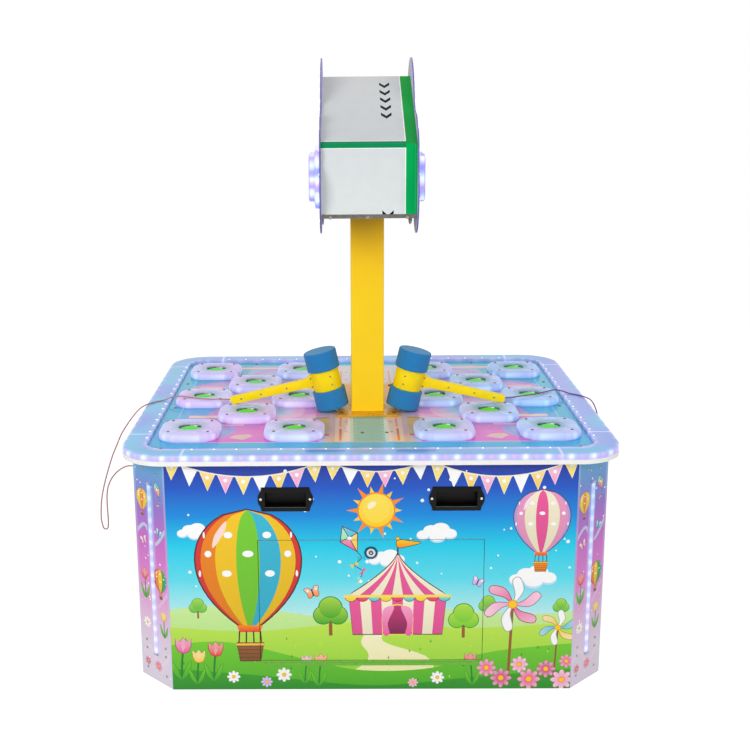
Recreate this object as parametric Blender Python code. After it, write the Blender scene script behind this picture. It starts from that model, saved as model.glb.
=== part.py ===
"""Mole pounding arcade table for two players, in metres, with +Z up and its front at -Y.

The origin is on the floor, under the middle of the table. Each sub-part is one object. Pieces that
touch keep GAP between them.
"""

import math

import bmesh
import bpy
from mathutils import Vector

# Clearances
GAP = 0.0003  # between pieces that touch
OVERRUN = 0.004  # how far a cutter runs past what it cuts

# Table top
TABLE_HALF_X = 0.700
TABLE_HALF_Y = 0.608
TABLE_CORNER = 0.128
TABLE_TOP_Z = 0.714
BORDER_HEIGHT = 0.0167
BOARD_THICK = 0.013
BORDER_WIDTH = 0.070
BORDER_INNER_CORNER = 0.060
PLAYFIELD_THICK = 0.006
CORNER_STEPS = 6

# Cabinet
OVERHANG = 0.025
CHAMFER = 0.104
PANEL_THICK = 0.012
BASE_THICK = 0.018
POST_WIDTH = 0.080
POST_DEPTH = 0.035

# Service door, its hinge and its lock
DOOR_SIDE_MARGIN = 0.255
DOOR_BOTTOM_Z = 0.092
DOOR_TOP_Z = 0.457
DOOR_GAP = 0.0015
HINGE_RADIUS = 0.0023
HINGE_GAP = 0.0004
HINGE_LEAF_THICK = 0.0012
HINGE_LEAF_HEIGHT = 0.014
HINGE_END_GAP = 0.010
HINGE_TAB_HEIGHT = 0.007
LOCK_DROP = 0.037
LOCK_BEZEL_RADIUS = 0.0185
LOCK_BEZEL_THICK = 0.003
LOCK_BARREL_RADIUS = 0.0095
LOCK_BARREL_PAST_DOOR = 0.010
LOCK_PLUG_RADIUS = 0.0070
LOCK_PLUG_PROUD = 0.0008
LOCK_TAIL = 0.003
CAM_THICK = 0.002
CAM_REACH = 0.048
CAM_WIDTH = 0.016

# Recessed pull handles
PULL_END_MARGIN = 0.334
PULL_DROP = 0.1047
PULL_HALF_X = 0.067
PULL_HALF_Z = 0.035
PULL_WING_REACH = 0.0095
PULL_WING_HALF = 0.013
PULL_FLANGE_THICK = 0.0025
PULL_CUP_HALF_X = 0.0563
PULL_CUP_HALF_Z = 0.021
PULL_CUP_DEPTH = 0.028
PULL_CUP_WALL = 0.002

# Corner light bars
LIGHT_HALF_WIDTH = 0.007
LIGHT_PROUD = 0.005
LIGHT_LOW_Z = 0.085
LIGHT_TOP_DROP = 0.0737

# Pods and moles
POD_INNER_X = 0.2186
POD_SIDE_MARGIN = 0.0195
POD_END_MARGIN = 0.0861
POD_HALF = 0.0875
POD_CORNER = 0.055
POD_HEIGHT = 0.0236
POD_EDGE = 0.008
POD_HOLE_RADIUS = 0.036
POD_SHEET_THICK = 0.0012
POD_SHEET_MARGIN = 0.030
POD_CORNER_STEPS = 3
HOLE_STEPS = 16
MOLE_RADIUS = 0.034
MOLE_BELOW_RIM = 0.003
MOLE_LENGTH = 0.078
MOLE_CROWN = 0.010
MOLE_ROD_RADIUS = 0.006
MOLE_ROD_LENGTH = 0.060
MOLE_HOLE_CLEARANCE = 0.003

# Drive units under the pods
DRIVE_ROD_CLEARANCE = 0.0004
DRIVE_COIL_RADIUS = 0.018
DRIVE_COIL_LENGTH = 0.084
DRIVE_TRAY_THICK = 0.006
DRIVE_TRAY_MARGIN = 0.055
DRIVE_LEG = 0.020
DRIVE_STEPS = 12

# Sign column
COLUMN_HALF_X = 0.050
COLUMN_HALF_Y = 0.143
COLUMN_WALL = 0.002
BASE_PLATE_HALF_X = 0.0935
BASE_PLATE_HALF_Y = 0.197
BASE_PLATE_THICK = 0.006

# Sign
SIGN_LOW_Z = 1.3425
SIGN_WALL_HEIGHT = 0.1935
SIGN_ROOF_RISE = 0.182
SIGN_HALF_Y = 0.400
SIGN_HALF_X = 0.1325
SIGN_WALL = 0.0025
FACE_THICK = 0.004
FACE_MARGIN = 0.008
FACE_TOP_LOBE = 0.200
FACE_CREST_RISE = 0.055
FACE_LOW_LOBE = 0.190
FACE_TONGUE_DROP = 0.0705
FACE_FOOT_LOBE = 0.125
FACE_FOOT_DROP = 0.0605
FACE_FOOT_FROM_END = 0.098
FACE_SHOULDER_LOBE = 0.075
FACE_SHOULDER_DROP = 0.030
FACE_SLOPE_LOBE = 0.085
FACE_SLOPE_DROP = 0.065
FACE_SLOPE_SHARE = 0.675
FACE_STEPS = 28
DISPLAY_HALF_Y = 0.140
DISPLAY_HALF_Z = 0.093
DISPLAY_CORNER = 0.040
DISPLAY_RISE = 0.0765
DISPLAY_THICK = 0.038
DISPLAY_WINDOW_HALF_Y = 0.095
DISPLAY_WINDOW_HALF_Z = 0.050
DISPLAY_WINDOW_DEPTH = 0.010

# Hammers
HAMMER_X = 0.1286  # from the table's middle to the middle of the head
HAMMER_Y = -0.112
HAMMER_LENGTH = 0.306  # from the head's axis to the butt
HUB_RADIUS = 0.044
HUB_LENGTH = 0.064
FOAM_RADIUS = 0.051
FOAM_LENGTH = 0.060
FOAM_EDGE = 0.004
BUTT_HALF = 0.0115
NECK_HALF = 0.014
NECK_FLARE_HALF = 0.024
NECK_FLARE_LENGTH = 0.022
HANDLE_HALF_THICK = 0.012
HAMMER_STEPS = 24
BUTT_STEPS = 8

# Hammer cords and the glands that they come out of
CORD_DIAMETER = 0.0038
CORD_SIDES = 2
GLAND_SHANK_RADIUS = 0.006
GLAND_FLANGE_RADIUS = 0.010
GLAND_FLANGE_THICK = 0.002
GLAND_NOSE_RADIUS = 0.004
GLAND_NOSE_LENGTH = 0.006
GLAND_STEPS = 16
GLAND_LEFT_FROM_END = 0.079
GLAND_RIGHT_Y = 0.070
GLAND_DROP = 0.0657

# Power parts
INLET_END_MARGIN = 0.221
INLET_Z = 0.120
INLET_FLANGE_HALF_X = 0.025
INLET_FLANGE_HALF_Z = 0.016
INLET_FLANGE_THICK = 0.003
INLET_BODY_HALF_X = 0.021
INLET_BODY_HALF_Z = 0.012
INLET_BODY_DEPTH = 0.024
INLET_SOCKET_HALF_X = 0.018
INLET_SOCKET_HALF_Z = 0.009
INLET_SOCKET_DEPTH = 0.014
SUPPLY_END_MARGIN = 0.271
SUPPLY_BACK_MARGIN = 0.283
SUPPLY_HALF_X = 0.100
SUPPLY_HALF_Y = 0.055
SUPPLY_HEIGHT = 0.050
SUPPLY_LEDGE_LENGTH = 0.018
SUPPLY_LEDGE_HEIGHT = 0.020

# Places that follow from the sizes above
FRONT_Y = TABLE_HALF_Y - OVERHANG
SIDE_X = TABLE_HALF_X - OVERHANG
FRONT_HALF = SIDE_X - CHAMFER
SIDE_HALF = FRONT_Y - CHAMFER
BORDER_LOW_Z = TABLE_TOP_Z - BORDER_HEIGHT
BOARD_TOP_Z = BORDER_LOW_Z - GAP
BOARD_LOW_Z = BOARD_TOP_Z - BOARD_THICK
CABINET_TOP_Z = BOARD_LOW_Z - GAP
PLAYFIELD_LOW_Z = BOARD_TOP_Z + GAP
PLAYFIELD_TOP_Z = PLAYFIELD_LOW_Z + PLAYFIELD_THICK
INNER_HALF_X = TABLE_HALF_X - BORDER_WIDTH
INNER_HALF_Y = TABLE_HALF_Y - BORDER_WIDTH
POD_LOW_Z = PLAYFIELD_TOP_Z + GAP
POD_TOP_Z = POD_LOW_Z + POD_HEIGHT
POD_OUTER_X = INNER_HALF_X - POD_SIDE_MARGIN - POD_HALF
POD_MIDDLE_X = (POD_INNER_X + POD_OUTER_X) / 2
POD_ROW_STEP = (INNER_HALF_Y - POD_END_MARGIN - POD_HALF) / 2
MOLE_TOP_Z = POD_TOP_Z - MOLE_BELOW_RIM
MOLE_LOW_Z = MOLE_TOP_Z - MOLE_LENGTH
COIL_TOP_Z = MOLE_LOW_Z - GAP
TRAY_TOP_Z = COIL_TOP_Z - DRIVE_COIL_LENGTH + DRIVE_TRAY_THICK / 2
DOOR_HALF_X = FRONT_HALF - DOOR_SIDE_MARGIN
PULL_X = FRONT_HALF - PULL_END_MARGIN
PULL_Z = CABINET_TOP_Z - PULL_DROP
LIGHT_HIGH_Z = CABINET_TOP_Z - LIGHT_TOP_DROP
GLAND_LEFT_Y = GLAND_LEFT_FROM_END - SIDE_HALF
GLAND_Z = CABINET_TOP_Z - GLAND_DROP
INLET_X = FRONT_HALF - INLET_END_MARGIN
SUPPLY_X = FRONT_HALF - SUPPLY_END_MARGIN
SUPPLY_Y = FRONT_Y - SUPPLY_BACK_MARGIN
HINGE_Y = -FRONT_Y - GAP - HINGE_RADIUS
HINGE_Z = DOOR_BOTTOM_Z - HINGE_GAP - HINGE_RADIUS
LOCK_Z = DOOR_TOP_Z - LOCK_DROP
BASE_PLATE_LOW_Z = PLAYFIELD_TOP_Z + GAP
COLUMN_TOP_Z = SIGN_LOW_Z - GAP
SIGN_CREASE_Z = SIGN_LOW_Z + SIGN_WALL_HEIGHT
SIGN_RIDGE_Z = SIGN_CREASE_Z + SIGN_ROOF_RISE
FACE_TOP_Z = SIGN_RIDGE_Z + FACE_CREST_RISE
FACE_LOW_Z = SIGN_LOW_Z - FACE_TONGUE_DROP
DISPLAY_Z = SIGN_LOW_Z + DISPLAY_RISE
FACE_X = SIGN_HALF_X + GAP
DISPLAY_X = FACE_X + FACE_THICK + GAP
HEAD_HALF = HUB_LENGTH / 2 + GAP + FOAM_LENGTH

# The left cord's route, from the hammer's butt over the table's edge to its gland
LEFT_ROUTE = [
    (-0.4274, -0.1120, 0.7395),
    (-0.4480, -0.1110, 0.7395),
    (-0.4720, -0.1020, 0.7380),
    (-0.5000, -0.0830, 0.7330),
    (-0.5320, -0.0610, 0.7300),
    (-0.5700, -0.0420, 0.7297),
    (-0.6000, -0.0320, 0.7300),
    (-0.6250, -0.0250, 0.7250),
    (-0.6480, -0.0270, 0.7168),
    (-0.6740, -0.0480, 0.7163),
    (-0.6990, -0.0880, 0.7167),
    (-0.7130, -0.1290, 0.7140),
    (-0.7263, -0.1700, 0.7023),
    (-0.7404, -0.2050, 0.6840),
    (-0.7521, -0.2350, 0.6646),
    (-0.7621, -0.2620, 0.6387),
    (-0.7713, -0.2840, 0.6147),
    (-0.7807, -0.3050, 0.5822),
    (-0.7886, -0.3220, 0.5514),
    (-0.7943, -0.3350, 0.5250),
    (-0.7986, -0.3470, 0.4956),
    (-0.8000, -0.3570, 0.4655),
    (-0.7987, -0.3660, 0.4404),
    (-0.7948, -0.3708, 0.4250),
    (-0.7917, -0.3742, 0.4168),
    (-0.7853, -0.3775, 0.4139),
    (-0.7789, -0.3800, 0.4168),
    (-0.7758, -0.3820, 0.4250),
    (-0.7742, -0.3840, 0.4471),
    (-0.7741, -0.3870, 0.4765),
    (-0.7737, -0.3890, 0.5107),
    (-0.7706, -0.3910, 0.5391),
    (-0.7640, -0.3920, 0.5608),
    (-0.7528, -0.3940, 0.5818),
    (-0.7362, -0.3960, 0.6002),
    (-0.7170, -0.3980, 0.6133),
    (-0.7030, -0.3996, 0.6180),
    (-0.6930, -0.4000, 0.6180),
    (-0.6836, -0.4000, 0.6180),
]

# The right cord's route, whose loop hangs close to the cabinet's side
RIGHT_ROUTE = [
    (0.4274, -0.1120, 0.7395),
    (0.4480, -0.1105, 0.7400),
    (0.4720, -0.0980, 0.7400),
    (0.5020, -0.0740, 0.7375),
    (0.5350, -0.0430, 0.7335),
    (0.5720, -0.0060, 0.7305),
    (0.6040, 0.0180, 0.7303),
    (0.6300, 0.0280, 0.7248),
    (0.6550, 0.0250, 0.7168),
    (0.6800, 0.0050, 0.7163),
    (0.6985, -0.0250, 0.7167),
    (0.7120, -0.0520, 0.7125),
    (0.7215, -0.0720, 0.6930),
    (0.7290, -0.0850, 0.6600),
    (0.7350, -0.0900, 0.6150),
    (0.7390, -0.0880, 0.5650),
    (0.7410, -0.0800, 0.5150),
    (0.7410, -0.0680, 0.4700),
    (0.7400, -0.0500, 0.4350),
    (0.7380, -0.0280, 0.4170),
    (0.7360, -0.0040, 0.4130),
    (0.7340, 0.0200, 0.4250),
    (0.7320, 0.0400, 0.4520),
    (0.7300, 0.0540, 0.4900),
    (0.7270, 0.0620, 0.5300),
    (0.7220, 0.0670, 0.5680),
    (0.7130, 0.0690, 0.5980),
    (0.7010, 0.0700, 0.6140),
    (0.6920, 0.0700, 0.6180),
    (0.6836, 0.0700, 0.6180),
]


def clear_scene():
    for old in list(bpy.data.objects):
        bpy.data.objects.remove(old, do_unlink=True)


def material(name, colour, roughness, metallic=0.0):
    made = bpy.data.materials.new(name)
    made.use_nodes = True
    shader = made.node_tree.nodes["Principled BSDF"]
    shader.inputs["Base Color"].default_value = (*colour, 1.0)
    shader.inputs["Roughness"].default_value = roughness
    shader.inputs["Metallic"].default_value = metallic
    made.diffuse_color = (*colour, 1.0)
    return made


# Outlines, each a list of pairs that runs anticlockwise


def rectangle(half_a, half_b, centre=(0.0, 0.0)):
    a, b = centre
    low_a, high_a = a - half_a, a + half_a
    low_b, high_b = b - half_b, b + half_b
    return [(low_a, low_b), (high_a, low_b), (high_a, high_b), (low_a, high_b)]


def rounded(half_a, half_b, radius, steps, centre=(0.0, 0.0)):
    points = []
    for quarter, (sign_a, sign_b) in enumerate([(1, 1), (-1, 1), (-1, -1), (1, -1)]):
        for step in range(steps + 1):
            turn = (quarter + step / steps) * math.pi / 2
            points.append((
                centre[0] + sign_a * (half_a - radius) + radius * math.cos(turn),
                centre[1] + sign_b * (half_b - radius) + radius * math.sin(turn),
            ))
    return points


def circle(radius, steps, centre=(0.0, 0.0)):
    turns = [2 * math.pi * (step + 0.5) / steps for step in range(steps)]
    return [(centre[0] + radius * math.cos(t), centre[1] + radius * math.sin(t)) for t in turns]


def chamfered(half_a, half_b, leg):
    return [
        (half_a - leg, -half_b), (half_a, leg - half_b), (half_a, half_b - leg), (half_a - leg, half_b),
        (leg - half_a, half_b), (-half_a, half_b - leg), (-half_a, leg - half_b), (leg - half_a, -half_b),
    ]


# Meshes


def raised(pair, height, across):
    """A point of an outline, set at a height along the axis that the outline lies across."""
    a, b = pair
    return {"X": (height, a, b), "Y": (a, height, b), "Z": (a, b, height)}[across]


def add_loft(mesh, rings):
    """A closed solid through rings of points, with its ends filled."""
    loops = [[mesh.verts.new(point) for point in ring] for ring in rings]
    for low, high in zip(loops, loops[1:]):
        for i in range(len(low)):
            j = (i + 1) % len(low)
            mesh.faces.new((low[i], low[j], high[j], high[i]))
    mesh.faces.new(loops[0][::-1])
    mesh.faces.new(loops[-1])


def add_prism(mesh, outline, low, high, across="Z"):
    add_loft(mesh, [[raised(pair, height, across) for pair in outline] for height in (low, high)])


def add_turned(mesh, profile, steps, across="Z", centre=(0.0, 0.0)):
    """A solid of revolution. The profile lists (radius, height) upwards, its first and last on rings."""
    rings = [[raised(pair, height, across) for pair in circle(r, steps, centre)] for r, height in profile]
    add_loft(mesh, rings)


def new_object(name, mesh, finish, place=(0.0, 0.0, 0.0), sharp_degrees=35):
    bmesh.ops.recalc_face_normals(mesh, faces=mesh.faces)
    data = bpy.data.meshes.new(name)
    mesh.to_mesh(data)
    mesh.free()
    data.materials.append(finish)
    data.shade_smooth()
    data.set_sharp_from_angle(angle=math.radians(sharp_degrees))
    made = bpy.data.objects.new(name, data)
    made.location = place
    bpy.context.scene.collection.objects.link(made)
    return made


def tool_for(target, name, mesh, operation):
    """A hidden solid that is cut from the target, or joined to it."""
    tool = new_object(name, mesh, target.data.materials[0])
    tool.matrix_world = target.matrix_basis.copy()
    tool.hide_render = True
    tool.display_type = "WIRE"
    change = target.modifiers.new(name, "BOOLEAN")
    change.object = tool
    change.operation = operation
    return tool


def cut(target, mesh):
    return tool_for(target, f"cut_{target.name}_{len(target.modifiers)}", mesh, "DIFFERENCE")


def join(target, mesh):
    return tool_for(target, f"add_{target.name}_{len(target.modifiers)}", mesh, "UNION")


def pod_places(side):
    """The middles of one player's eight pods: rows of two, one, two, one and two, from the front."""
    places = []
    for row in (-2, -1, 0, 1, 2):
        columns = (POD_MIDDLE_X,) if row % 2 else (POD_INNER_X, POD_OUTER_X)
        places += [(side * x, row * POD_ROW_STEP) for x in columns]
    return places


SIDES = {"left": -1, "right": 1}


# Cabinet


def make_cabinet_frame(finish):
    seat = PANEL_THICK + GAP
    inset_chamfer = CHAMFER - seat * (2 - math.sqrt(2))
    mesh = bmesh.new()
    add_prism(mesh, chamfered(SIDE_X - seat, FRONT_Y - seat, inset_chamfer), 0.0, BASE_THICK)
    frame = new_object("cabinet_frame", mesh, finish)
    posts = bmesh.new()
    for sign_x in (-1, 1):
        for sign_y in (-1, 1):
            outer = Vector((sign_x * (SIDE_X - CHAMFER / 2), sign_y * (FRONT_Y - CHAMFER / 2)))
            inward = Vector((-sign_x, -sign_y)).normalized()
            along = Vector((-inward.y, inward.x)) * POST_WIDTH / 2
            near = outer + inward * seat
            far = near + inward * POST_DEPTH
            outline = [near - along, near + along, far + along, far - along]
            add_prism(posts, [tuple(point) for point in outline], BASE_THICK / 2, CABINET_TOP_Z)
    join(frame, posts)


def make_front_panel(finish):
    mesh = bmesh.new()
    middle_z = CABINET_TOP_Z / 2
    add_prism(mesh, rectangle(FRONT_HALF, middle_z, (0.0, middle_z)), -FRONT_Y, PANEL_THICK - FRONT_Y, "Y")
    panel = new_object("front_panel", mesh, finish)
    holes = bmesh.new()
    low = DOOR_BOTTOM_Z - DOOR_GAP
    high = DOOR_TOP_Z + DOOR_GAP
    outline = rectangle(DOOR_HALF_X + DOOR_GAP, (high - low) / 2, (0.0, (high + low) / 2))
    reach = (-FRONT_Y - OVERRUN, PANEL_THICK - FRONT_Y + OVERRUN)
    add_prism(holes, outline, *reach, "Y")
    for side in SIDES.values():
        wall = PULL_CUP_WALL + GAP
        outline = rectangle(PULL_CUP_HALF_X + wall, PULL_CUP_HALF_Z + wall, (side * PULL_X, PULL_Z))
        add_prism(holes, outline, *reach, "Y")
    cut(panel, holes)


def make_back_panel(finish):
    mesh = bmesh.new()
    middle_z = CABINET_TOP_Z / 2
    add_prism(mesh, rectangle(FRONT_HALF, middle_z, (0.0, middle_z)), FRONT_Y - PANEL_THICK, FRONT_Y, "Y")
    panel = new_object("back_panel", mesh, finish)
    hole = bmesh.new()
    outline = rectangle(INLET_BODY_HALF_X + GAP, INLET_BODY_HALF_Z + GAP, (INLET_X, INLET_Z))
    add_prism(hole, outline, FRONT_Y - PANEL_THICK - OVERRUN, FRONT_Y + OVERRUN, "Y")
    cut(panel, hole)


def make_side_panel(name, side, gland_y, finish):
    mesh = bmesh.new()
    middle_z = CABINET_TOP_Z / 2
    low, high = sorted((side * SIDE_X, side * (SIDE_X - PANEL_THICK)))
    add_prism(mesh, rectangle(SIDE_HALF, middle_z, (0.0, middle_z)), low, high, "X")
    panel = new_object(name, mesh, finish)
    hole = bmesh.new()
    outline = circle(GLAND_SHANK_RADIUS + GAP, GLAND_STEPS, (gland_y, GLAND_Z))
    add_prism(hole, outline, low - OVERRUN, high + OVERRUN, "X")
    cut(panel, hole)


def corner_line(sign_x, sign_y, inward):
    """The chamfer's two end points, moved inward, between the ends of the panels beside it."""
    step = inward * math.sqrt(2)
    near_front = (FRONT_HALF + GAP, FRONT_Y - GAP - step)
    near_side = (SIDE_X - GAP - step, SIDE_HALF + GAP)
    return [(sign_x * near_front[0], sign_y * near_front[1]), (sign_x * near_side[0], sign_y * near_side[1])]


def make_corner(name, sign_x, sign_y, cover_finish, light_finish):
    outer = corner_line(sign_x, sign_y, 0.0)
    inner = corner_line(sign_x, sign_y, PANEL_THICK)
    mesh = bmesh.new()
    add_prism(mesh, outer + inner[::-1], 0.0, CABINET_TOP_Z)
    new_object(f"corner_cover_{name}", mesh, cover_finish)

    middle = (Vector(outer[0]) + Vector(outer[1])) / 2
    outward = Vector((sign_x, sign_y)).normalized()
    along = Vector((-outward.y, outward.x)) * LIGHT_HALF_WIDTH
    seat = middle + outward * GAP
    crown = middle + outward * LIGHT_PROUD
    shoulder = middle + outward * LIGHT_PROUD / 2
    outline = [seat - along, shoulder - along, crown - along / 2]
    outline += [crown + along / 2, shoulder + along, seat + along]
    mesh = bmesh.new()
    add_prism(mesh, [tuple(point) for point in outline], LIGHT_LOW_Z, LIGHT_HIGH_Z)
    new_object(f"corner_light_{name}", mesh, light_finish)


def make_service_door(finish):
    mesh = bmesh.new()
    half = (DOOR_TOP_Z - DOOR_BOTTOM_Z) / 2
    outline = rectangle(DOOR_HALF_X, half, (0.0, DOOR_BOTTOM_Z + half - HINGE_Z))
    front = -FRONT_Y - HINGE_Y
    add_prism(mesh, outline, front, front + PANEL_THICK, "Y")
    door = new_object("service_door", mesh, finish, (0.0, HINGE_Y, HINGE_Z))
    hole = bmesh.new()
    outline = circle(LOCK_BARREL_RADIUS + GAP, HOLE_STEPS, (0.0, LOCK_Z - HINGE_Z))
    add_prism(hole, outline, front - OVERRUN, front + PANEL_THICK + OVERRUN, "Y")
    cut(door, hole)

    back = HINGE_RADIUS
    foot = HINGE_RADIUS + HINGE_GAP
    crest = foot + HINGE_TAB_HEIGHT
    near = back - HINGE_LEAF_THICK
    far = front + HINGE_LEAF_THICK
    tab = [(near, 0.0), (back, 0.0), (back, foot), (far, foot), (far, crest), (near, crest)]
    for side in (-1, 1):
        low, high = sorted((side * DOOR_HALF_X, side * (DOOR_HALF_X - HINGE_END_GAP + GAP)))
        for outline in (tab, circle(HINGE_RADIUS, DRIVE_STEPS)):
            knuckle = bmesh.new()
            add_prism(knuckle, outline, low, high, "X")
            join(door, knuckle)


def make_door_hinge(finish):
    half_x = DOOR_HALF_X - HINGE_END_GAP
    mesh = bmesh.new()
    add_prism(mesh, circle(HINGE_RADIUS, DRIVE_STEPS), -half_x, half_x, "X")
    hinge = new_object("door_hinge", mesh, finish, (0.0, HINGE_Y, HINGE_Z))
    leaf = bmesh.new()
    back = HINGE_RADIUS
    middle = (back - HINGE_LEAF_THICK / 2, -HINGE_LEAF_HEIGHT / 2)
    outline = rectangle(HINGE_LEAF_THICK / 2, HINGE_LEAF_HEIGHT / 2, middle)
    add_prism(leaf, outline, -half_x, half_x, "X")
    join(hinge, leaf)


def make_lock(barrel_finish, plug_finish):
    face = -FRONT_Y - GAP
    barrel_back = PANEL_THICK - FRONT_Y + LOCK_BARREL_PAST_DOOR
    place = (0.0, face, LOCK_Z)
    mesh = bmesh.new()
    profile = [
        (LOCK_BEZEL_RADIUS - LOCK_BEZEL_THICK / 2, -LOCK_BEZEL_THICK),
        (LOCK_BEZEL_RADIUS, -LOCK_BEZEL_THICK / 2), (LOCK_BEZEL_RADIUS, 0.0),
        (LOCK_BARREL_RADIUS, 0.0), (LOCK_BARREL_RADIUS, barrel_back - face),
    ]
    add_turned(mesh, profile, HOLE_STEPS, "Y")
    barrel = new_object("lock_barrel", mesh, barrel_finish, place)
    bore = bmesh.new()
    outline = circle(LOCK_PLUG_RADIUS + GAP, HOLE_STEPS)
    add_prism(bore, outline, -LOCK_BEZEL_THICK - OVERRUN, barrel_back - face + OVERRUN, "Y")
    cut(barrel, bore)

    cam_front = barrel_back - face + GAP
    tail = cam_front + CAM_THICK + LOCK_TAIL
    mesh = bmesh.new()
    add_prism(mesh, circle(LOCK_PLUG_RADIUS, HOLE_STEPS), -LOCK_BEZEL_THICK - LOCK_PLUG_PROUD, tail, "Y")
    plug = new_object("lock_plug", mesh, plug_finish, place)
    cam = bmesh.new()
    middle = (CAM_REACH - CAM_WIDTH / 2) / 2
    outline = rectangle(middle + CAM_WIDTH / 2, CAM_WIDTH / 2, (middle, 0.0))
    add_prism(cam, outline, cam_front, cam_front + CAM_THICK, "Y")
    join(plug, cam)


def make_pull_handle(name, side, finish):
    face = -FRONT_Y - GAP
    wing = PULL_HALF_X + PULL_WING_REACH
    slope = PULL_WING_HALF + PULL_WING_REACH
    half = [
        (PULL_HALF_X, -PULL_HALF_Z), (PULL_HALF_X, -slope), (wing, -PULL_WING_HALF),
        (wing, PULL_WING_HALF), (PULL_HALF_X, slope), (PULL_HALF_X, PULL_HALF_Z),
    ]
    outline = half + [(-a, -b) for a, b in half]
    mesh = bmesh.new()
    add_prism(mesh, outline, -PULL_FLANGE_THICK, 0.0, "Y")
    pull = new_object(name, mesh, finish, (side * PULL_X, face, PULL_Z))
    cup = bmesh.new()
    wall = PULL_CUP_WALL
    outline = rectangle(PULL_CUP_HALF_X + wall, PULL_CUP_HALF_Z + wall)
    add_prism(cup, outline, -PULL_FLANGE_THICK / 2, PULL_CUP_DEPTH + wall, "Y")
    join(pull, cup)
    hollow = bmesh.new()
    outline = rectangle(PULL_CUP_HALF_X, PULL_CUP_HALF_Z)
    add_prism(hollow, outline, -PULL_FLANGE_THICK - OVERRUN, PULL_CUP_DEPTH, "Y")
    cut(pull, hollow)


# Table top


def mole_holes(low, high):
    mesh = bmesh.new()
    radius = MOLE_RADIUS + MOLE_HOLE_CLEARANCE
    for side in SIDES.values():
        for place in pod_places(side):
            add_prism(mesh, circle(radius, DRIVE_STEPS, place), low, high)
    return mesh


def make_table_board(finish):
    mesh = bmesh.new()
    outline = rounded(TABLE_HALF_X, TABLE_HALF_Y, TABLE_CORNER, CORNER_STEPS)
    add_prism(mesh, outline, BOARD_LOW_Z, BOARD_TOP_Z)
    board = new_object("table_board", mesh, finish)
    cut(board, mole_holes(BOARD_LOW_Z - OVERRUN, BOARD_TOP_Z + OVERRUN))


def make_border_frame(finish):
    mesh = bmesh.new()
    outline = rounded(TABLE_HALF_X, TABLE_HALF_Y, TABLE_CORNER, CORNER_STEPS)
    add_prism(mesh, outline, BORDER_LOW_Z, TABLE_TOP_Z)
    border = new_object("border_frame", mesh, finish)
    middle = bmesh.new()
    outline = rounded(INNER_HALF_X, INNER_HALF_Y, BORDER_INNER_CORNER, CORNER_STEPS)
    add_prism(middle, outline, BORDER_LOW_Z - OVERRUN, TABLE_TOP_Z + OVERRUN)
    cut(border, middle)


def make_playfield_panel(finish):
    mesh = bmesh.new()
    outline = rounded(INNER_HALF_X - GAP, INNER_HALF_Y - GAP, BORDER_INNER_CORNER - GAP, CORNER_STEPS)
    add_prism(mesh, outline, PLAYFIELD_LOW_Z, PLAYFIELD_TOP_Z)
    panel = new_object("playfield_panel", mesh, finish)
    cut(panel, mole_holes(PLAYFIELD_LOW_Z - OVERRUN, PLAYFIELD_TOP_Z + OVERRUN))


def make_pod_deck(name, side, finish):
    """Eight pods on one thin sheet."""
    places = pod_places(side)
    xs = [x for x, _ in places]
    ys = [y for _, y in places]
    half_x = (max(xs) - min(xs)) / 2 + POD_SHEET_MARGIN
    half_y = (max(ys) - min(ys)) / 2 + POD_SHEET_MARGIN
    mesh = bmesh.new()
    outline = rectangle(half_x, half_y, (side * POD_MIDDLE_X, 0.0))
    add_prism(mesh, outline, POD_LOW_Z, POD_LOW_Z + POD_SHEET_THICK)
    deck = new_object(name, mesh, finish)
    pods = bmesh.new()
    holes = bmesh.new()
    halfway = POD_EDGE * (1 - math.sqrt(0.5))
    steps = [
        (0.0, POD_LOW_Z), (0.0, POD_TOP_Z - POD_EDGE), (halfway, POD_TOP_Z - halfway), (POD_EDGE, POD_TOP_Z),
    ]
    for place in places:
        rings = []
        for inset, height in steps:
            outline = rounded(POD_HALF - inset, POD_HALF - inset, POD_CORNER - inset, POD_CORNER_STEPS, place)
            rings.append([raised(pair, height, "Z") for pair in outline])
        add_loft(pods, rings)
        outline = circle(POD_HOLE_RADIUS, HOLE_STEPS, place)
        add_prism(holes, outline, POD_LOW_Z - OVERRUN, POD_TOP_Z + OVERRUN)
    join(deck, pods)
    cut(deck, holes)


# Moles and what lifts them


def make_moles(finish):
    shape = None
    for name, side in SIDES.items():
        for number, (x, y) in enumerate(pod_places(side), start=1):
            place = (x, y, MOLE_LOW_Z)
            if shape is None:
                mesh = bmesh.new()
                profile = [
                    (MOLE_ROD_RADIUS, -MOLE_ROD_LENGTH), (MOLE_ROD_RADIUS, 0.0), (MOLE_RADIUS, 0.0),
                    (MOLE_RADIUS, MOLE_LENGTH - MOLE_CROWN),
                    (MOLE_RADIUS * math.cos(math.pi / 6), MOLE_LENGTH - MOLE_CROWN / 2),
                    (MOLE_RADIUS / 2, MOLE_LENGTH),
                ]
                add_turned(mesh, profile, HOLE_STEPS)
                shape = new_object(f"mole_{name}_{number}", mesh, finish, place).data
                continue
            made = bpy.data.objects.new(f"mole_{name}_{number}", shape)
            made.location = place
            bpy.context.scene.collection.objects.link(made)


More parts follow.
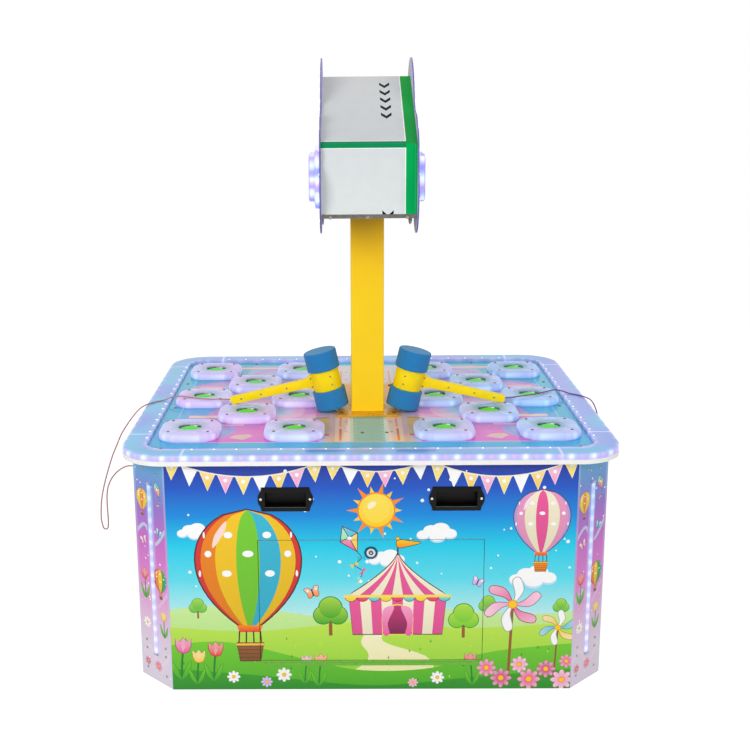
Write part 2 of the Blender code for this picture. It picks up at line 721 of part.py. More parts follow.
def make_mole_drive(name, side, finish):
    """A tray that hangs from the board on four legs, with a coil and a bore for each mole's rod."""
    places = pod_places(side)
    xs = [x for x, _ in places]
    ys = [y for _, y in places]
    half_x = (max(xs) - min(xs)) / 2 + DRIVE_TRAY_MARGIN
    half_y = (max(ys) - min(ys)) / 2 + DRIVE_TRAY_MARGIN
    middle_x = side * POD_MIDDLE_X
    mesh = bmesh.new()
    add_prism(mesh, rectangle(half_x, half_y, (middle_x, 0.0)), TRAY_TOP_Z - DRIVE_TRAY_THICK, TRAY_TOP_Z)
    drive = new_object(name, mesh, finish)
    extra = bmesh.new()
    bores = bmesh.new()
    for place in places:
        outline = circle(DRIVE_COIL_RADIUS, DRIVE_STEPS, place)
        add_prism(extra, outline, COIL_TOP_Z - DRIVE_COIL_LENGTH, COIL_TOP_Z)
        outline = circle(MOLE_ROD_RADIUS + DRIVE_ROD_CLEARANCE, DRIVE_STEPS, place)
        add_prism(bores, outline, COIL_TOP_Z - DRIVE_COIL_LENGTH - OVERRUN, COIL_TOP_Z + OVERRUN)
    for sign_x in (-1, 1):
        for sign_y in (-1, 1):
            centre = (middle_x + sign_x * (half_x - DRIVE_LEG / 2), sign_y * (half_y - DRIVE_LEG / 2))
            outline = rectangle(DRIVE_LEG / 2, DRIVE_LEG / 2, centre)
            add_prism(extra, outline, TRAY_TOP_Z - DRIVE_TRAY_THICK / 2, CABINET_TOP_Z)
    join(drive, extra)
    cut(drive, bores)


# Column and sign


def make_sign_column(finish):
    mesh = bmesh.new()
    low = BASE_PLATE_LOW_Z
    add_prism(mesh, rectangle(BASE_PLATE_HALF_X, BASE_PLATE_HALF_Y), low, low + BASE_PLATE_THICK)
    column = new_object("sign_column", mesh, finish)
    post = bmesh.new()
    add_prism(post, rectangle(COLUMN_HALF_X, COLUMN_HALF_Y), low + BASE_PLATE_THICK / 2, COLUMN_TOP_Z)
    join(column, post)
    hollow = bmesh.new()
    outline = rectangle(COLUMN_HALF_X - COLUMN_WALL, COLUMN_HALF_Y - COLUMN_WALL)
    add_prism(hollow, outline, low - OVERRUN, COLUMN_TOP_Z + OVERRUN)
    cut(column, hollow)


def sign_outline(grown):
    """The sign's section, made larger all round by a distance."""
    slope = math.atan2(SIGN_RIDGE_Z - SIGN_CREASE_Z, SIGN_HALF_Y)
    crease_rise = grown * (1 / math.cos(slope) - math.tan(slope))
    ridge_rise = grown / math.cos(slope)
    half_y = SIGN_HALF_Y + grown
    return [
        (-half_y, SIGN_LOW_Z - grown), (half_y, SIGN_LOW_Z - grown), (half_y, SIGN_CREASE_Z + crease_rise),
        (0.0, SIGN_RIDGE_Z + ridge_rise), (-half_y, SIGN_CREASE_Z + crease_rise),
    ]


def make_sign_body(finish):
    mesh = bmesh.new()
    add_prism(mesh, sign_outline(0.0), -SIGN_HALF_X, SIGN_HALF_X, "X")
    body = new_object("sign_body", mesh, finish)
    hollow = bmesh.new()
    add_prism(hollow, sign_outline(-SIGN_WALL), -SIGN_HALF_X - OVERRUN, SIGN_HALF_X + OVERRUN, "X")
    cut(body, hollow)


def make_sign_face(name, side, finish):
    low, high = sorted((side * FACE_X, side * (FACE_X + FACE_THICK)))
    mesh = bmesh.new()
    add_prism(mesh, sign_outline(FACE_MARGIN), low, high, "X")
    face = new_object(name, mesh, finish)
    lobes = [(FACE_TOP_LOBE, 0.0, FACE_TOP_Z - FACE_TOP_LOBE)]
    lobes.append((FACE_LOW_LOBE, 0.0, FACE_LOW_Z + FACE_LOW_LOBE))
    foot_y = SIGN_HALF_Y + FACE_MARGIN - FACE_FOOT_FROM_END
    foot_z = SIGN_LOW_Z - FACE_FOOT_DROP + FACE_FOOT_LOBE
    shoulder_y = SIGN_HALF_Y + 2 * FACE_MARGIN - FACE_SHOULDER_LOBE
    slope_z = SIGN_RIDGE_Z - FACE_SLOPE_SHARE * SIGN_ROOF_RISE - FACE_SLOPE_DROP
    for sign_y in (-1, 1):
        lobes.append((FACE_FOOT_LOBE, sign_y * foot_y, foot_z))
        lobes.append((FACE_SHOULDER_LOBE, sign_y * shoulder_y, SIGN_CREASE_Z - FACE_SHOULDER_DROP))
        lobes.append((FACE_SLOPE_LOBE, sign_y * FACE_SLOPE_SHARE * SIGN_HALF_Y, slope_z))
    for radius, middle_y, middle_z in lobes:
        lobe = bmesh.new()
        add_prism(lobe, circle(radius, FACE_STEPS, (middle_y, middle_z)), low, high, "X")
        join(face, lobe)


def make_score_display(name, side, finish):
    low, high = sorted((side * DISPLAY_X, side * (DISPLAY_X + DISPLAY_THICK)))
    mesh = bmesh.new()
    outline = rounded(DISPLAY_HALF_Y, DISPLAY_HALF_Z, DISPLAY_CORNER, POD_CORNER_STEPS, (0.0, DISPLAY_Z))
    add_prism(mesh, outline, low, high, "X")
    display = new_object(name, mesh, finish)
    window = bmesh.new()
    outer = side * (DISPLAY_X + DISPLAY_THICK)
    low, high = sorted((outer + side * OVERRUN, outer - side * DISPLAY_WINDOW_DEPTH))
    outline = rectangle(DISPLAY_WINDOW_HALF_Y, DISPLAY_WINDOW_HALF_Z, (0.0, DISPLAY_Z))
    add_prism(window, outline, low, high, "X")
    cut(display, window)


# Hammers


def hammer_tilt():
    """The angle at which the butt lies on a pod while the head's lower edge stands on the playfield."""
    reach = HAMMER_LENGTH - BUTT_HALF - FOAM_RADIUS
    butt_above = POD_TOP_Z + BUTT_HALF - PLAYFIELD_TOP_Z
    return math.atan2(HEAD_HALF, reach) - math.asin(butt_above / math.hypot(HEAD_HALF, reach))


def make_hammer(name, side, handle_finish, foam_finish):
    tilt = hammer_tilt()
    reach = HAMMER_LENGTH - BUTT_HALF
    pivot = bpy.data.objects.new(f"pivot_{name}", None)
    pivot.location = (side * (HAMMER_X + reach * math.cos(tilt)), HAMMER_Y, POD_TOP_Z + GAP + BUTT_HALF)
    pivot.rotation_euler = (0.0, -tilt, 0.0 if side < 0 else math.pi)
    bpy.context.scene.collection.objects.link(pivot)

    butt = []
    for step in range(BUTT_STEPS + 1):
        turn = math.pi * (0.5 + step / BUTT_STEPS)
        butt.append((BUTT_HALF * math.cos(turn), BUTT_HALF * math.sin(turn)))
    neck = reach - HUB_RADIUS - NECK_FLARE_LENGTH
    outline = butt + [
        (neck, -NECK_HALF), (reach - HUB_RADIUS, -NECK_FLARE_HALF), (reach, -NECK_FLARE_HALF),
        (reach, NECK_FLARE_HALF), (reach - HUB_RADIUS, NECK_FLARE_HALF), (neck, NECK_HALF),
    ]
    mesh = bmesh.new()
    add_prism(mesh, outline, -HANDLE_HALF_THICK, HANDLE_HALF_THICK, "Y")
    handle = new_object(f"{name}_handle", mesh, handle_finish)
    handle.parent = pivot
    hub = bmesh.new()
    add_prism(hub, circle(HUB_RADIUS, HAMMER_STEPS, (reach, 0.0)), -HUB_LENGTH / 2, HUB_LENGTH / 2)
    join(handle, hub).parent = pivot

    for level, sign in {"upper": 1, "lower": -1}.items():
        near = sign * (HUB_LENGTH / 2 + GAP)
        far = near + sign * FOAM_LENGTH
        edge = far - sign * FOAM_EDGE
        profile = [(FOAM_RADIUS, near), (FOAM_RADIUS, edge), (FOAM_RADIUS - FOAM_EDGE / 2, far)]
        mesh = bmesh.new()
        add_turned(mesh, profile, HAMMER_STEPS, "Z", (reach, 0.0))
        new_object(f"{name}_foam_{level}", mesh, foam_finish).parent = pivot


# Cords and glands


def smooth_line(points, per_step=2):
    """Points on a smooth curve through the route's own points."""
    route = [Vector(point) for point in points]
    ends = [2 * route[0] - route[1], *route, 2 * route[-1] - route[-2]]
    line = []
    for a, b, c, d in zip(ends, ends[1:], ends[2:], ends[3:]):
        for step in range(per_step):
            t = step / per_step
            curve = 2 * b + (c - a) * t + (2 * a - 5 * b + 4 * c - d) * t ** 2
            curve += (3 * b - a - 3 * c + d) * t ** 3
            line.append(curve / 2)
    return [*line, route[-1]]


def make_cord(name, route, finish):
    data = bpy.data.curves.new(name, "CURVE")
    data.dimensions = "3D"
    data.bevel_depth = CORD_DIAMETER / 2
    data.bevel_resolution = CORD_SIDES
    data.use_fill_caps = True
    line = smooth_line(route)
    spline = data.splines.new("POLY")
    spline.points.add(len(line) - 1)
    for point, place in zip(spline.points, line):
        point.co = (*place, 1.0)
    data.materials.append(finish)
    made = bpy.data.objects.new(name, data)
    bpy.context.scene.collection.objects.link(made)
    length = sum((b - a).length for a, b in zip(line, line[1:]))
    print(f"{name} is {length:.3f} m long")


def make_cord_gland(name, side, place_y, finish):
    outer = GAP + GLAND_FLANGE_THICK + GLAND_NOSE_LENGTH
    profile = [
        (GLAND_SHANK_RADIUS, -PANEL_THICK), (GLAND_SHANK_RADIUS, GAP), (GLAND_FLANGE_RADIUS, GAP),
        (GLAND_FLANGE_RADIUS, GAP + GLAND_FLANGE_THICK), (GLAND_SHANK_RADIUS, GAP + GLAND_FLANGE_THICK),
        (GLAND_NOSE_RADIUS, outer),
    ]
    mesh = bmesh.new()
    add_turned(mesh, [(radius, side * height) for radius, height in profile], GLAND_STEPS, "X")
    new_object(name, mesh, finish, (side * SIDE_X, place_y, GLAND_Z))


# Power parts


def make_power_inlet(finish):
    mesh = bmesh.new()
    add_prism(mesh, rectangle(INLET_FLANGE_HALF_X, INLET_FLANGE_HALF_Z), GAP, GAP + INLET_FLANGE_THICK, "Y")
    inlet = new_object("power_inlet", mesh, finish, (INLET_X, FRONT_Y, INLET_Z))
    body = bmesh.new()
    outline = rectangle(INLET_BODY_HALF_X, INLET_BODY_HALF_Z)
    add_prism(body, outline, -INLET_BODY_DEPTH, GAP + INLET_FLANGE_THICK / 2, "Y")
    join(inlet, body)
    socket = bmesh.new()
    front = GAP + INLET_FLANGE_THICK
    outline = rectangle(INLET_SOCKET_HALF_X, INLET_SOCKET_HALF_Z)
    add_prism(socket, outline, front - INLET_SOCKET_DEPTH, front + OVERRUN, "Y")
    cut(inlet, socket)


def make_power_supply(finish):
    mesh = bmesh.new()
    ledge = SUPPLY_HALF_X - SUPPLY_LEDGE_LENGTH
    outline = [
        (-SUPPLY_HALF_X, 0.0), (SUPPLY_HALF_X, 0.0), (SUPPLY_HALF_X, SUPPLY_LEDGE_HEIGHT),
        (ledge, SUPPLY_LEDGE_HEIGHT), (ledge, SUPPLY_HEIGHT), (-SUPPLY_HALF_X, SUPPLY_HEIGHT),
    ]
    add_prism(mesh, outline, -SUPPLY_HALF_Y, SUPPLY_HALF_Y, "Y")
    new_object("power_supply", mesh, finish, (SUPPLY_X, SUPPLY_Y, BASE_THICK + GAP))


def main():
    clear_scene()
    print_board = material("printed_board", (0.25, 0.66, 0.86), 0.35)
    print_corner = material("printed_corner", (0.72, 0.45, 0.80), 0.35)
    wood = material("plywood", (0.62, 0.45, 0.27), 0.70)
    white_board = material("white_board", (0.88, 0.87, 0.86), 0.35)
    lit_border = material("lit_border", (0.56, 0.66, 0.95), 0.20)
    playfield = material("printed_playfield", (0.86, 0.50, 0.72), 0.25)
    pod_plastic = material("frosted_plastic", (0.80, 0.78, 0.97), 0.30)
    mole_plastic = material("green_plastic", (0.22, 0.78, 0.10), 0.35)
    yellow_paint = material("yellow_paint", (0.95, 0.68, 0.06), 0.40)
    yellow_plastic = material("yellow_plastic", (1.00, 0.80, 0.02), 0.35)
    foam = material("blue_foam", (0.05, 0.30, 0.62), 0.85)
    film = material("white_film", (0.80, 0.82, 0.82), 0.40)
    face_acrylic = material("sign_acrylic", (0.45, 0.42, 0.85), 0.25)
    display_plastic = material("lit_display", (0.55, 0.60, 0.98), 0.25)
    light_tube = material("light_tube", (0.85, 0.88, 1.00), 0.30)
    steel = material("zinc_steel", (0.60, 0.60, 0.62), 0.35, 1.0)
    chrome = material("chrome", (0.80, 0.80, 0.82), 0.12, 1.0)
    black_plastic = material("black_plastic", (0.02, 0.02, 0.02), 0.40)
    lock_ring = material("lock_ring", (0.03, 0.10, 0.12), 0.30)
    cord_skin = {
        "left": material("left_cord_skin", (0.28, 0.10, 0.10), 0.50),
        "right": material("right_cord_skin", (0.16, 0.06, 0.22), 0.50),
    }

    make_cabinet_frame(wood)
    make_front_panel(print_board)
    make_back_panel(print_board)
    make_side_panel("left_panel", -1, GLAND_LEFT_Y, print_board)
    make_side_panel("right_panel", 1, GLAND_RIGHT_Y, print_board)
    for depth, sign_y in {"front": -1, "back": 1}.items():
        for side, sign_x in SIDES.items():
            make_corner(f"{depth}_{side}", sign_x, sign_y, print_corner, light_tube)
    make_service_door(print_board)
    make_door_hinge(steel)
    make_lock(lock_ring, chrome)

    make_table_board(white_board)
    make_border_frame(lit_border)
    make_playfield_panel(playfield)
    make_moles(mole_plastic)

    make_sign_column(yellow_paint)
    make_sign_body(film)

    cord_routes = {"left": (LEFT_ROUTE, GLAND_LEFT_Y), "right": (RIGHT_ROUTE, GLAND_RIGHT_Y)}
    for name, side in SIDES.items():
        route, gland_y = cord_routes[name]
        make_pull_handle(f"pull_handle_{name}", side, black_plastic)
        make_pod_deck(f"pod_deck_{name}", side, pod_plastic)
        make_mole_drive(f"mole_drive_{name}", side, steel)
        make_sign_face(f"sign_face_{name}", side, face_acrylic)
        make_score_display(f"score_display_{name}", side, display_plastic)
        make_hammer(f"hammer_{name}", side, yellow_plastic, foam)
        make_cord(f"hammer_cord_{name}", route, cord_skin[name])
        make_cord_gland(f"cord_gland_{name}", side, gland_y, black_plastic)

    make_power_inlet(black_plastic)
    make_power_supply(steel)


main()
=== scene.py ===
"""Looks of the mole pounding arcade table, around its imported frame. Metres, +Z up, front at -Y."""

import math
import random

import bmesh
import bpy
from mathutils import Matrix, Vector, geometry


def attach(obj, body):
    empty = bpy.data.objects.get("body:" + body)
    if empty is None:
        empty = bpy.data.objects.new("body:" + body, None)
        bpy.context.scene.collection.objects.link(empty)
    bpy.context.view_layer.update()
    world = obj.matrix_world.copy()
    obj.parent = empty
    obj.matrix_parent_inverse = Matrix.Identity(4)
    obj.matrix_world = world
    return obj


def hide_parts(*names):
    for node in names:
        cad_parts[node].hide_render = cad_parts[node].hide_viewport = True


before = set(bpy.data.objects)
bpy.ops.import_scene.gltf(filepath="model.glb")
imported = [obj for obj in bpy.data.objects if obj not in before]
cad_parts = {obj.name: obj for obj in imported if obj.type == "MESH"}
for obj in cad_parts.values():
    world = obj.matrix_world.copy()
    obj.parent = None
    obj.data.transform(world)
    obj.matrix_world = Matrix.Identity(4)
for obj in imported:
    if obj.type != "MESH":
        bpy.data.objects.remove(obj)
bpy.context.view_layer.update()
SIDES = {"left": -1, "right": 1}

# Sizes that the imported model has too
GAP = 0.0003
TABLE_X, TABLE_Y, TABLE_CORNER = 0.7, 0.608, 0.128
INNER_X, INNER_Y, INNER_CORNER = 0.63, 0.538, 0.06
BOARD_LOW, BOARD_TOP = 0.684, 0.697
BORDER_LOW, BORDER_TOP = 0.6973, 0.714
FIELD_LOW, FIELD_TOP = 0.6973, 0.7033
POD_LOW, POD_TOP = 0.7036, 0.7272
POD_HALF, POD_CORNER, POD_HOLE = 0.0875, 0.055, 0.036
POD_INNER, POD_OUTER, POD_ROW = 0.2186, 0.523, 0.1822
CABINET_TOP = 0.6837
FRONT_Y, SIDE_X, FRONT_HALF, SIDE_HALF = 0.583, 0.675, 0.571, 0.479
PANEL = 0.012
DOOR_X, DOOR_LOW, DOOR_HIGH, DOOR_GAP = 0.316, 0.092, 0.457, 0.0015
LOCK_Z = 0.42
PULL_X, PULL_Z = 0.237, 0.579
SIGN_X, SIGN_Y, SIGN_LOW, SIGN_CREASE, SIGN_RIDGE = 0.1325, 0.4, 1.3425, 1.536, 1.718
MOLE_LOW, MOLE_RADIUS = 0.6462, 0.034


def rgb(red, green, blue):
    """A linear colour from the 0 to 255 values that a screen shows."""
    values = (red / 255, green / 255, blue / 255)
    return tuple(v / 12.92 if v <= 0.04045 else ((v + 0.055) / 1.055) ** 2.4 for v in values)


def mixed(a, b, share):
    return tuple(x + (y - x) * share for x, y in zip(a, b))


def dimmed(colour, share):
    return tuple(c * share for c in colour)


def clamped(share):
    return min(max(share, 0.0), 1.0)


def bell(offset, width):
    return math.exp(-(offset / width) ** 2)


# Finishes

ROUGH_SPREAD = 0.06
NOISE_LOW, NOISE_HIGH = 0.3, 0.7
SOCKETS = {"specular": "Specular IOR Level", "metal": "Metallic", "coat": "Coat Weight",
           "sheen": "Sheen Weight", "light": "Emission Color", "strength": "Emission Strength"}


def node(tree, kind, outlet=0, settings=(), **inputs):
    """A new shader node, from whose socket at the given place the next one takes its value."""
    made = tree.nodes.new("ShaderNode" + kind)
    for key, value in settings:
        setattr(made, key, value)
    for key, value in inputs.items():
        socket = made.inputs[key.replace("_", " ")]
        if isinstance(value, bpy.types.NodeSocket):
            tree.links.new(value, socket)
        else:
            socket.default_value = value
    return made.outputs[outlet]


def look(name, colour=None, roughness=0.45, grain=(60.0, 0.06), bump=None, lit=False, stretch=(1.0, 1.0, 1.0),
         **values):
    """A finish that varies a little. grain is the noise's scale and depth, bump its scale and height.

    Without a colour the mesh's paint gives it, and if lit, the mesh's glow is what it gives off."""
    made = bpy.data.materials.new(name)
    made.use_nodes = True
    tree = made.node_tree
    shader = tree.nodes["Principled BSDF"].inputs
    coords = node(tree, "TexCoord", "Object")
    spot = node(tree, "Mapping", Vector=coords, Scale=stretch)
    noise = node(tree, "TexNoise", "Fac", Vector=spot, Scale=grain[0], Detail=5.0)
    tone = node(tree, "ValToRGB", "Color", Fac=noise)
    low = 1.0 - 2.0 * grain[1]
    for element, place, value in zip(tone.node.color_ramp.elements, (NOISE_LOW, NOISE_HIGH), (low, 1.0)):
        element.position = place
        element.color = (value, value, value, 1.0)
    paint = [("attribute_name", "paint")]
    source = (*rgb(*colour), 1.0) if colour else node(tree, "Attribute", "Color", paint)
    multiply = [("data_type", "RGBA"), ("blend_type", "MULTIPLY")]
    tree.links.new(node(tree, "Mix", "Result", multiply, Factor=1.0, A=source, B=tone), shader["Base Color"])
    spread = {"From Min": NOISE_LOW, "From Max": NOISE_HIGH, "To Min": max(roughness - ROUGH_SPREAD, 0.02),
              "To Max": min(roughness + ROUGH_SPREAD, 1.0), "Value": noise}
    tree.links.new(node(tree, "MapRange", "Result", **spread), shader["Roughness"])
    if bump:
        fine = node(tree, "TexNoise", "Fac", Vector=spot, Scale=bump[0], Detail=3.0)
        tree.links.new(node(tree, "Bump", Strength=1.0, Distance=bump[1], Height=fine), shader["Normal"])
    if lit:
        glow = node(tree, "Attribute", "Color", [("attribute_name", "glow")])
        tree.links.new(glow, shader["Emission Color"])
        shader["Emission Strength"].default_value = 1.0
    for key, value in values.items():
        shader[SOCKETS[key]].default_value = value
    return made


SOFT = (320.0, 0.0002)
film = look("printed_film", None, 0.34, (220.0, 0.02), specular=0.35)
film_edge = look("panel_edge", (196, 168, 130), 0.7, (90.0, 0.15), (300.0, 0.0003), stretch=(0.3, 0.3, 3.0))
field_print = look("clear_sheet_print", None, 0.14, (40.0, 0.02), specular=0.24)
field_edge = look("clear_sheet_edge", (150, 205, 215), 0.2)
white_board = look("white_edge_board", (248, 246, 243), 0.5, (30.0, 0.03), (260.0, 0.0001))
border_look = look("lit_border_acrylic", None, 0.2, (14.0, 0.04), (55.0, 0.0002), lit=True, specular=0.3)
pod_look = look("frosted_pod_acrylic", None, 0.3, (18.0, 0.02), lit=True, specular=0.35)
led_white = look("led_white", (240, 240, 255), 0.3, light=(0.86, 0.9, 1.0, 1.0), strength=0.8)
led_red = look("led_red", (255, 70, 60), 0.3, light=(1.0, 0.05, 0.03, 1.0), strength=2.5)
led_off = look("led_off", (52, 16, 22), 0.3)
tube_look = look("lit_tube", None, 0.3, (90.0, 0.03), lit=True)
tube_cap = look("tube_cap", (176, 184, 216), 0.4, (120.0, 0.06))
# The moles' green also gives off a faint glow of its own colour: painted light, as the mole is no lamp.
mole_green_painted_glow = look("mole_green_painted_glow", (52, 204, 28), 0.34, (70.0, 0.06), (400.0, 0.00008), specular=0.2,
                  light=(*rgb(60, 215, 30), 1.0), strength=0.24)
mole_dark = look("mole_dark", (24, 40, 46), 0.35)
mole_white = look("mole_white", (240, 245, 245), 0.35)
mole_orange = look("mole_orange", (226, 150, 40), 0.4)
rod_steel = look("rod_steel", (190, 192, 196), 0.28, (200.0, 0.08), metal=1.0)
handle_yellow = look("handle_yellow", (255, 224, 8), 0.4, (35.0, 0.05), (500.0, 0.00006), specular=0.3)
foam_blue = look("foam_blue", (34, 130, 194), 0.82, (420.0, 0.12), (700.0, 0.0006), sheen=0.15)
# A lighter copy of the foam for the pads' flat ends, as painted light.
foam_face_painted_light = look("foam_face_painted_light", (46, 144, 206), 0.8, (300.0, 0.12), (500.0, 0.0006), sheen=0.15)
column_paint = look("column_paint", None, 0.36, (9.0, 0.03), (420.0, 0.00012), specular=0.3)
plate_paint = look("plate_paint", (236, 172, 34), 0.3, (25.0, 0.12), (300.0, 0.0002), metal=0.25)
sign_film = look("sign_film", None, 0.5, (30.0, 0.02), (12.0, 0.0008), specular=0.08)
sign_metal = look("sign_metal", (128, 124, 120), 0.35, (90.0, 0.2), (200.0, 0.0003), metal=0.9)
face_print = look("sign_face_print", None, 0.2, (50.0, 0.03), lit=True, coat=0.5)
face_edge = look("sign_face_edge", (96, 88, 178), 0.3, (60.0, 0.1), light=(*rgb(110, 110, 235), 1.0),
                 strength=0.04)
face_back = look("sign_face_back", (206, 203, 222), 0.8, (50.0, 0.03), specular=0.0)
display_look = look("display_acrylic", None, 0.25, (60.0, 0.03), lit=True, specular=0.3)
black_glass = look("display_glass", (14, 12, 18), 0.12, coat=0.5)
black_plastic = look("black_plastic", (22, 22, 24), 0.42, (120.0, 0.2), SOFT)
pull_black = look("pull_black", (6, 5, 6), 0.42, (120.0, 0.2), SOFT, specular=0.2)
# A lighter grey for a painted highlight along the pull cup's lower edge.
pull_painted_highlight = look("pull_painted_highlight", (84, 84, 88), 0.35, (120.0, 0.2))
screw_white = look("screw_white", (238, 238, 240), 0.4, (200.0, 0.05))
# Black for the lock's keyway, as painted shade.
keyway_painted_shade_black = look("keyway_painted_shade_black", (10, 10, 11), 0.55, (120.0, 0.2), SOFT)
screw_steel = look("screw_steel", (176, 172, 165), 0.3, (300.0, 0.15), metal=1.0)
screw_brass = look("screw_brass", (150, 104, 62), 0.36, (300.0, 0.2), metal=0.8)
zinc = look("zinc_steel", (172, 174, 178), 0.36, (160.0, 0.16), (260.0, 0.0002), metal=0.9)
hinge_paint = look("hinge_paint", (112, 190, 58), 0.4, (160.0, 0.1), (260.0, 0.0001))
chrome = look("lock_chrome", (214, 216, 220), 0.14, (200.0, 0.06), metal=1.0)
# Chrome tinted dark teal, as a painted reflection.
lock_teal_painted_reflection = look("lock_ring", (26, 84, 112), 0.16, (120.0, 0.1), metal=0.9)
plywood = look("plywood", (196, 160, 112), 0.72, (28.0, 0.16), (120.0, 0.0004), stretch=(1.0, 0.15, 1.0))
cord_skins = {"left": look("cord_left", (186, 128, 128), 0.45, (500.0, 0.1)),
              "right": look("cord_right", (112, 64, 122), 0.45, (500.0, 0.1))}


# Solids

SCREW_STEPS = 16
# Shares of the head's radius and height, from its foot to the top of its dome
SCREW_DOME = [(1.0, -0.0004), (1.0, 0.25), (0.86, 0.72), (0.6, 1.0)]
CROSS_LONG, CROSS_SHORT, CROSS_TAPER, CROSS_FLOOR = 0.46, 0.13, 0.9, 0.35
# Radius and height of the screws' heads, by what they hold
HEADS = {"cover": (0.0042, 0.002), "field": (0.005, 0.002), "pod": (0.0044, 0.0018),
         "handle": (0.003, 0.0012), "foot": (0.0072, 0.0034), "sign": (0.0052, 0.003),
         "pull": (0.0036, 0.0014)}


def upright(a, b, height):
    return Vector((a, b, height))


def axes_at(origin, along=(1, 0, 0), across=(0, 1, 0), out=(0, 0, 1)):
    """A function that turns local (a, b, height) into a point."""
    origin, along, across, out = map(Vector, (origin, along, across, out))
    return lambda a, b, height=0.0: origin + along * a + across * b + out * height


def front_at(origin):
    """Axes on a surface that faces the front."""
    return axes_at(origin, (1, 0, 0), (0, 0, 1), (0, -1, 0))


def side_at(origin, side):
    """Axes on a surface that faces outward at one side."""
    return axes_at(origin, (0, side, 0), (0, 0, 1), (side, 0, 0))


def circle(steps):
    return [2 * math.pi * step / steps for step in range(steps)]


def arc(start, steps):
    """The angles of half a turn, its two ends included."""
    return [start + math.pi * step / steps for step in range(steps + 1)]


def turned_rings(place, profile, turns):
    """Rings of a turned shape, from its radii and heights."""
    return [[place(r * math.cos(t), r * math.sin(t), h) for t in turns] for r, h in profile]


def loft(build, rings, finish=0, closed=False):
    """Skins rings of equally many points: capped, or with the last one joined to the first."""
    made = [[build.verts.new(point) for point in ring] for ring in rings]
    faces = []
    for lower, upper in zip(made, made[1:] + made[:closed]):
        for i in range(len(lower)):
            j = (i + 1) % len(lower)
            faces.append(build.faces.new((lower[i], lower[j], upper[j], upper[i])))
    if not closed:
        faces.append(build.faces.new(made[0][::-1]))
        faces.append(build.faces.new(made[-1]))
    for face in faces:
        face.material_index = finish
    return faces


def slab(build, outline, levels, place=upright, finish=0):
    """outline(inset) gives the edge, and levels are (inset, height) from one cap to the other."""
    rings = [[place(a, b, height) for a, b in outline(inset)] for inset, height in levels]
    return loft(build, rings, finish)


def rounded(half_a, half_b, radius, steps=8, centre=(0.0, 0.0)):
    def outline(inset=0.0):
        points = []
        corner = max(radius - inset, radius * 0.05)
        for quarter, (sign_a, sign_b) in enumerate([(1, 1), (-1, 1), (-1, -1), (1, -1)]):
            for step in range(steps + 1):
                turn = (quarter + step / steps) * math.pi / 2
                points.append((
                    centre[0] + sign_a * (half_a - inset - corner) + corner * math.cos(turn),
                    centre[1] + sign_b * (half_b - inset - corner) + corner * math.sin(turn),
                ))
        return points
    return outline


def disc(radius, steps=32, centre=(0.0, 0.0)):
    def outline(inset=0.0):
        size = radius - inset
        return [(centre[0] + size * math.cos(t), centre[1] + size * math.sin(t)) for t in circle(steps)]
    return outline


def screw(build, place, radius, height, finish=0, turn=0.0):
    """A pan head with a cross recess."""
    cross = [CROSS_SHORT if step % 4 else CROSS_LONG for step in range(SCREW_STEPS)]
    rows = [([share] * SCREW_STEPS, level) for share, level in SCREW_DOME]
    rows += [(cross, 1.0), ([share * CROSS_TAPER for share in cross], CROSS_FLOOR)]
    rings = []
    for shares, level in rows:
        ring = []
        for step, share in enumerate(shares):
            angle = turn + 2 * math.pi * step / SCREW_STEPS
            size = radius * share
            ring.append(place(size * math.cos(angle), size * math.sin(angle), height * level))
        rings.append(ring)
    loft(build, rings, finish)


def set_colours(build, chooser, name="paint"):
    """Colours every corner by chooser(point)."""
    layer = build.loops.layers.float_color.new(name)
    for face in build.faces:
        for loop in face.loops:
            loop[layer] = (*chooser(loop.vert.co), 1.0)


def linked(name, data):
    made = bpy.data.objects.new(name, data)
    bpy.context.scene.collection.objects.link(made)
    return made


def mesh_of(name, build, finishes):
    bmesh.ops.recalc_face_normals(build, faces=build.faces)
    mesh = bpy.data.meshes.new(name)
    build.to_mesh(mesh)
    build.free()
    for finish in finishes:
        mesh.materials.append(finish)
    return mesh


def piece(name, build, finishes, body="root", stands_for=(), smooth=35.0):
    mesh = mesh_of(name, build, finishes)
    mesh.shade_smooth()
    mesh.set_sharp_from_angle(angle=math.radians(smooth))
    made = linked(name, mesh)
    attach(made, body)
    if stands_for:
        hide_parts(*stands_for)
    return made


# Camera, set from the table's edges and the holes in the photograph

FOCAL_PIXELS = 1170.37
CAMERA_AT = Vector((-0.0697, -3.6476, 1.6886))
PITCH, YAW, ROLL = 0.2351, 0.0117, -0.0089
MIDDLE_PIXEL = (331.63, 367.07)
PICTURE_PIXELS = 750

ahead = Vector((-math.sin(YAW) * math.cos(PITCH), math.cos(YAW) * math.cos(PITCH), -math.sin(PITCH)))
level_right = Vector((math.cos(YAW), math.sin(YAW), 0.0))
level_up = level_right.cross(ahead)
camera_right = math.cos(ROLL) * level_right + math.sin(ROLL) * level_up
camera_up = -math.sin(ROLL) * level_right + math.cos(ROLL) * level_up
lens = bpy.data.cameras.new("camera")
lens.sensor_width = 36.0
lens.lens = FOCAL_PIXELS / PICTURE_PIXELS * lens.sensor_width
lens.shift_x = (PICTURE_PIXELS / 2 - MIDDLE_PIXEL[0]) / PICTURE_PIXELS
lens.shift_y = (MIDDLE_PIXEL[1] - PICTURE_PIXELS / 2) / PICTURE_PIXELS
camera = linked("camera", lens)
turned = Matrix((camera_right, camera_up, -ahead)).transposed()
camera.matrix_world = Matrix.Translation(CAMERA_AT) @ turned.to_4x4()
bpy.context.scene.camera = camera


# Hammer cords

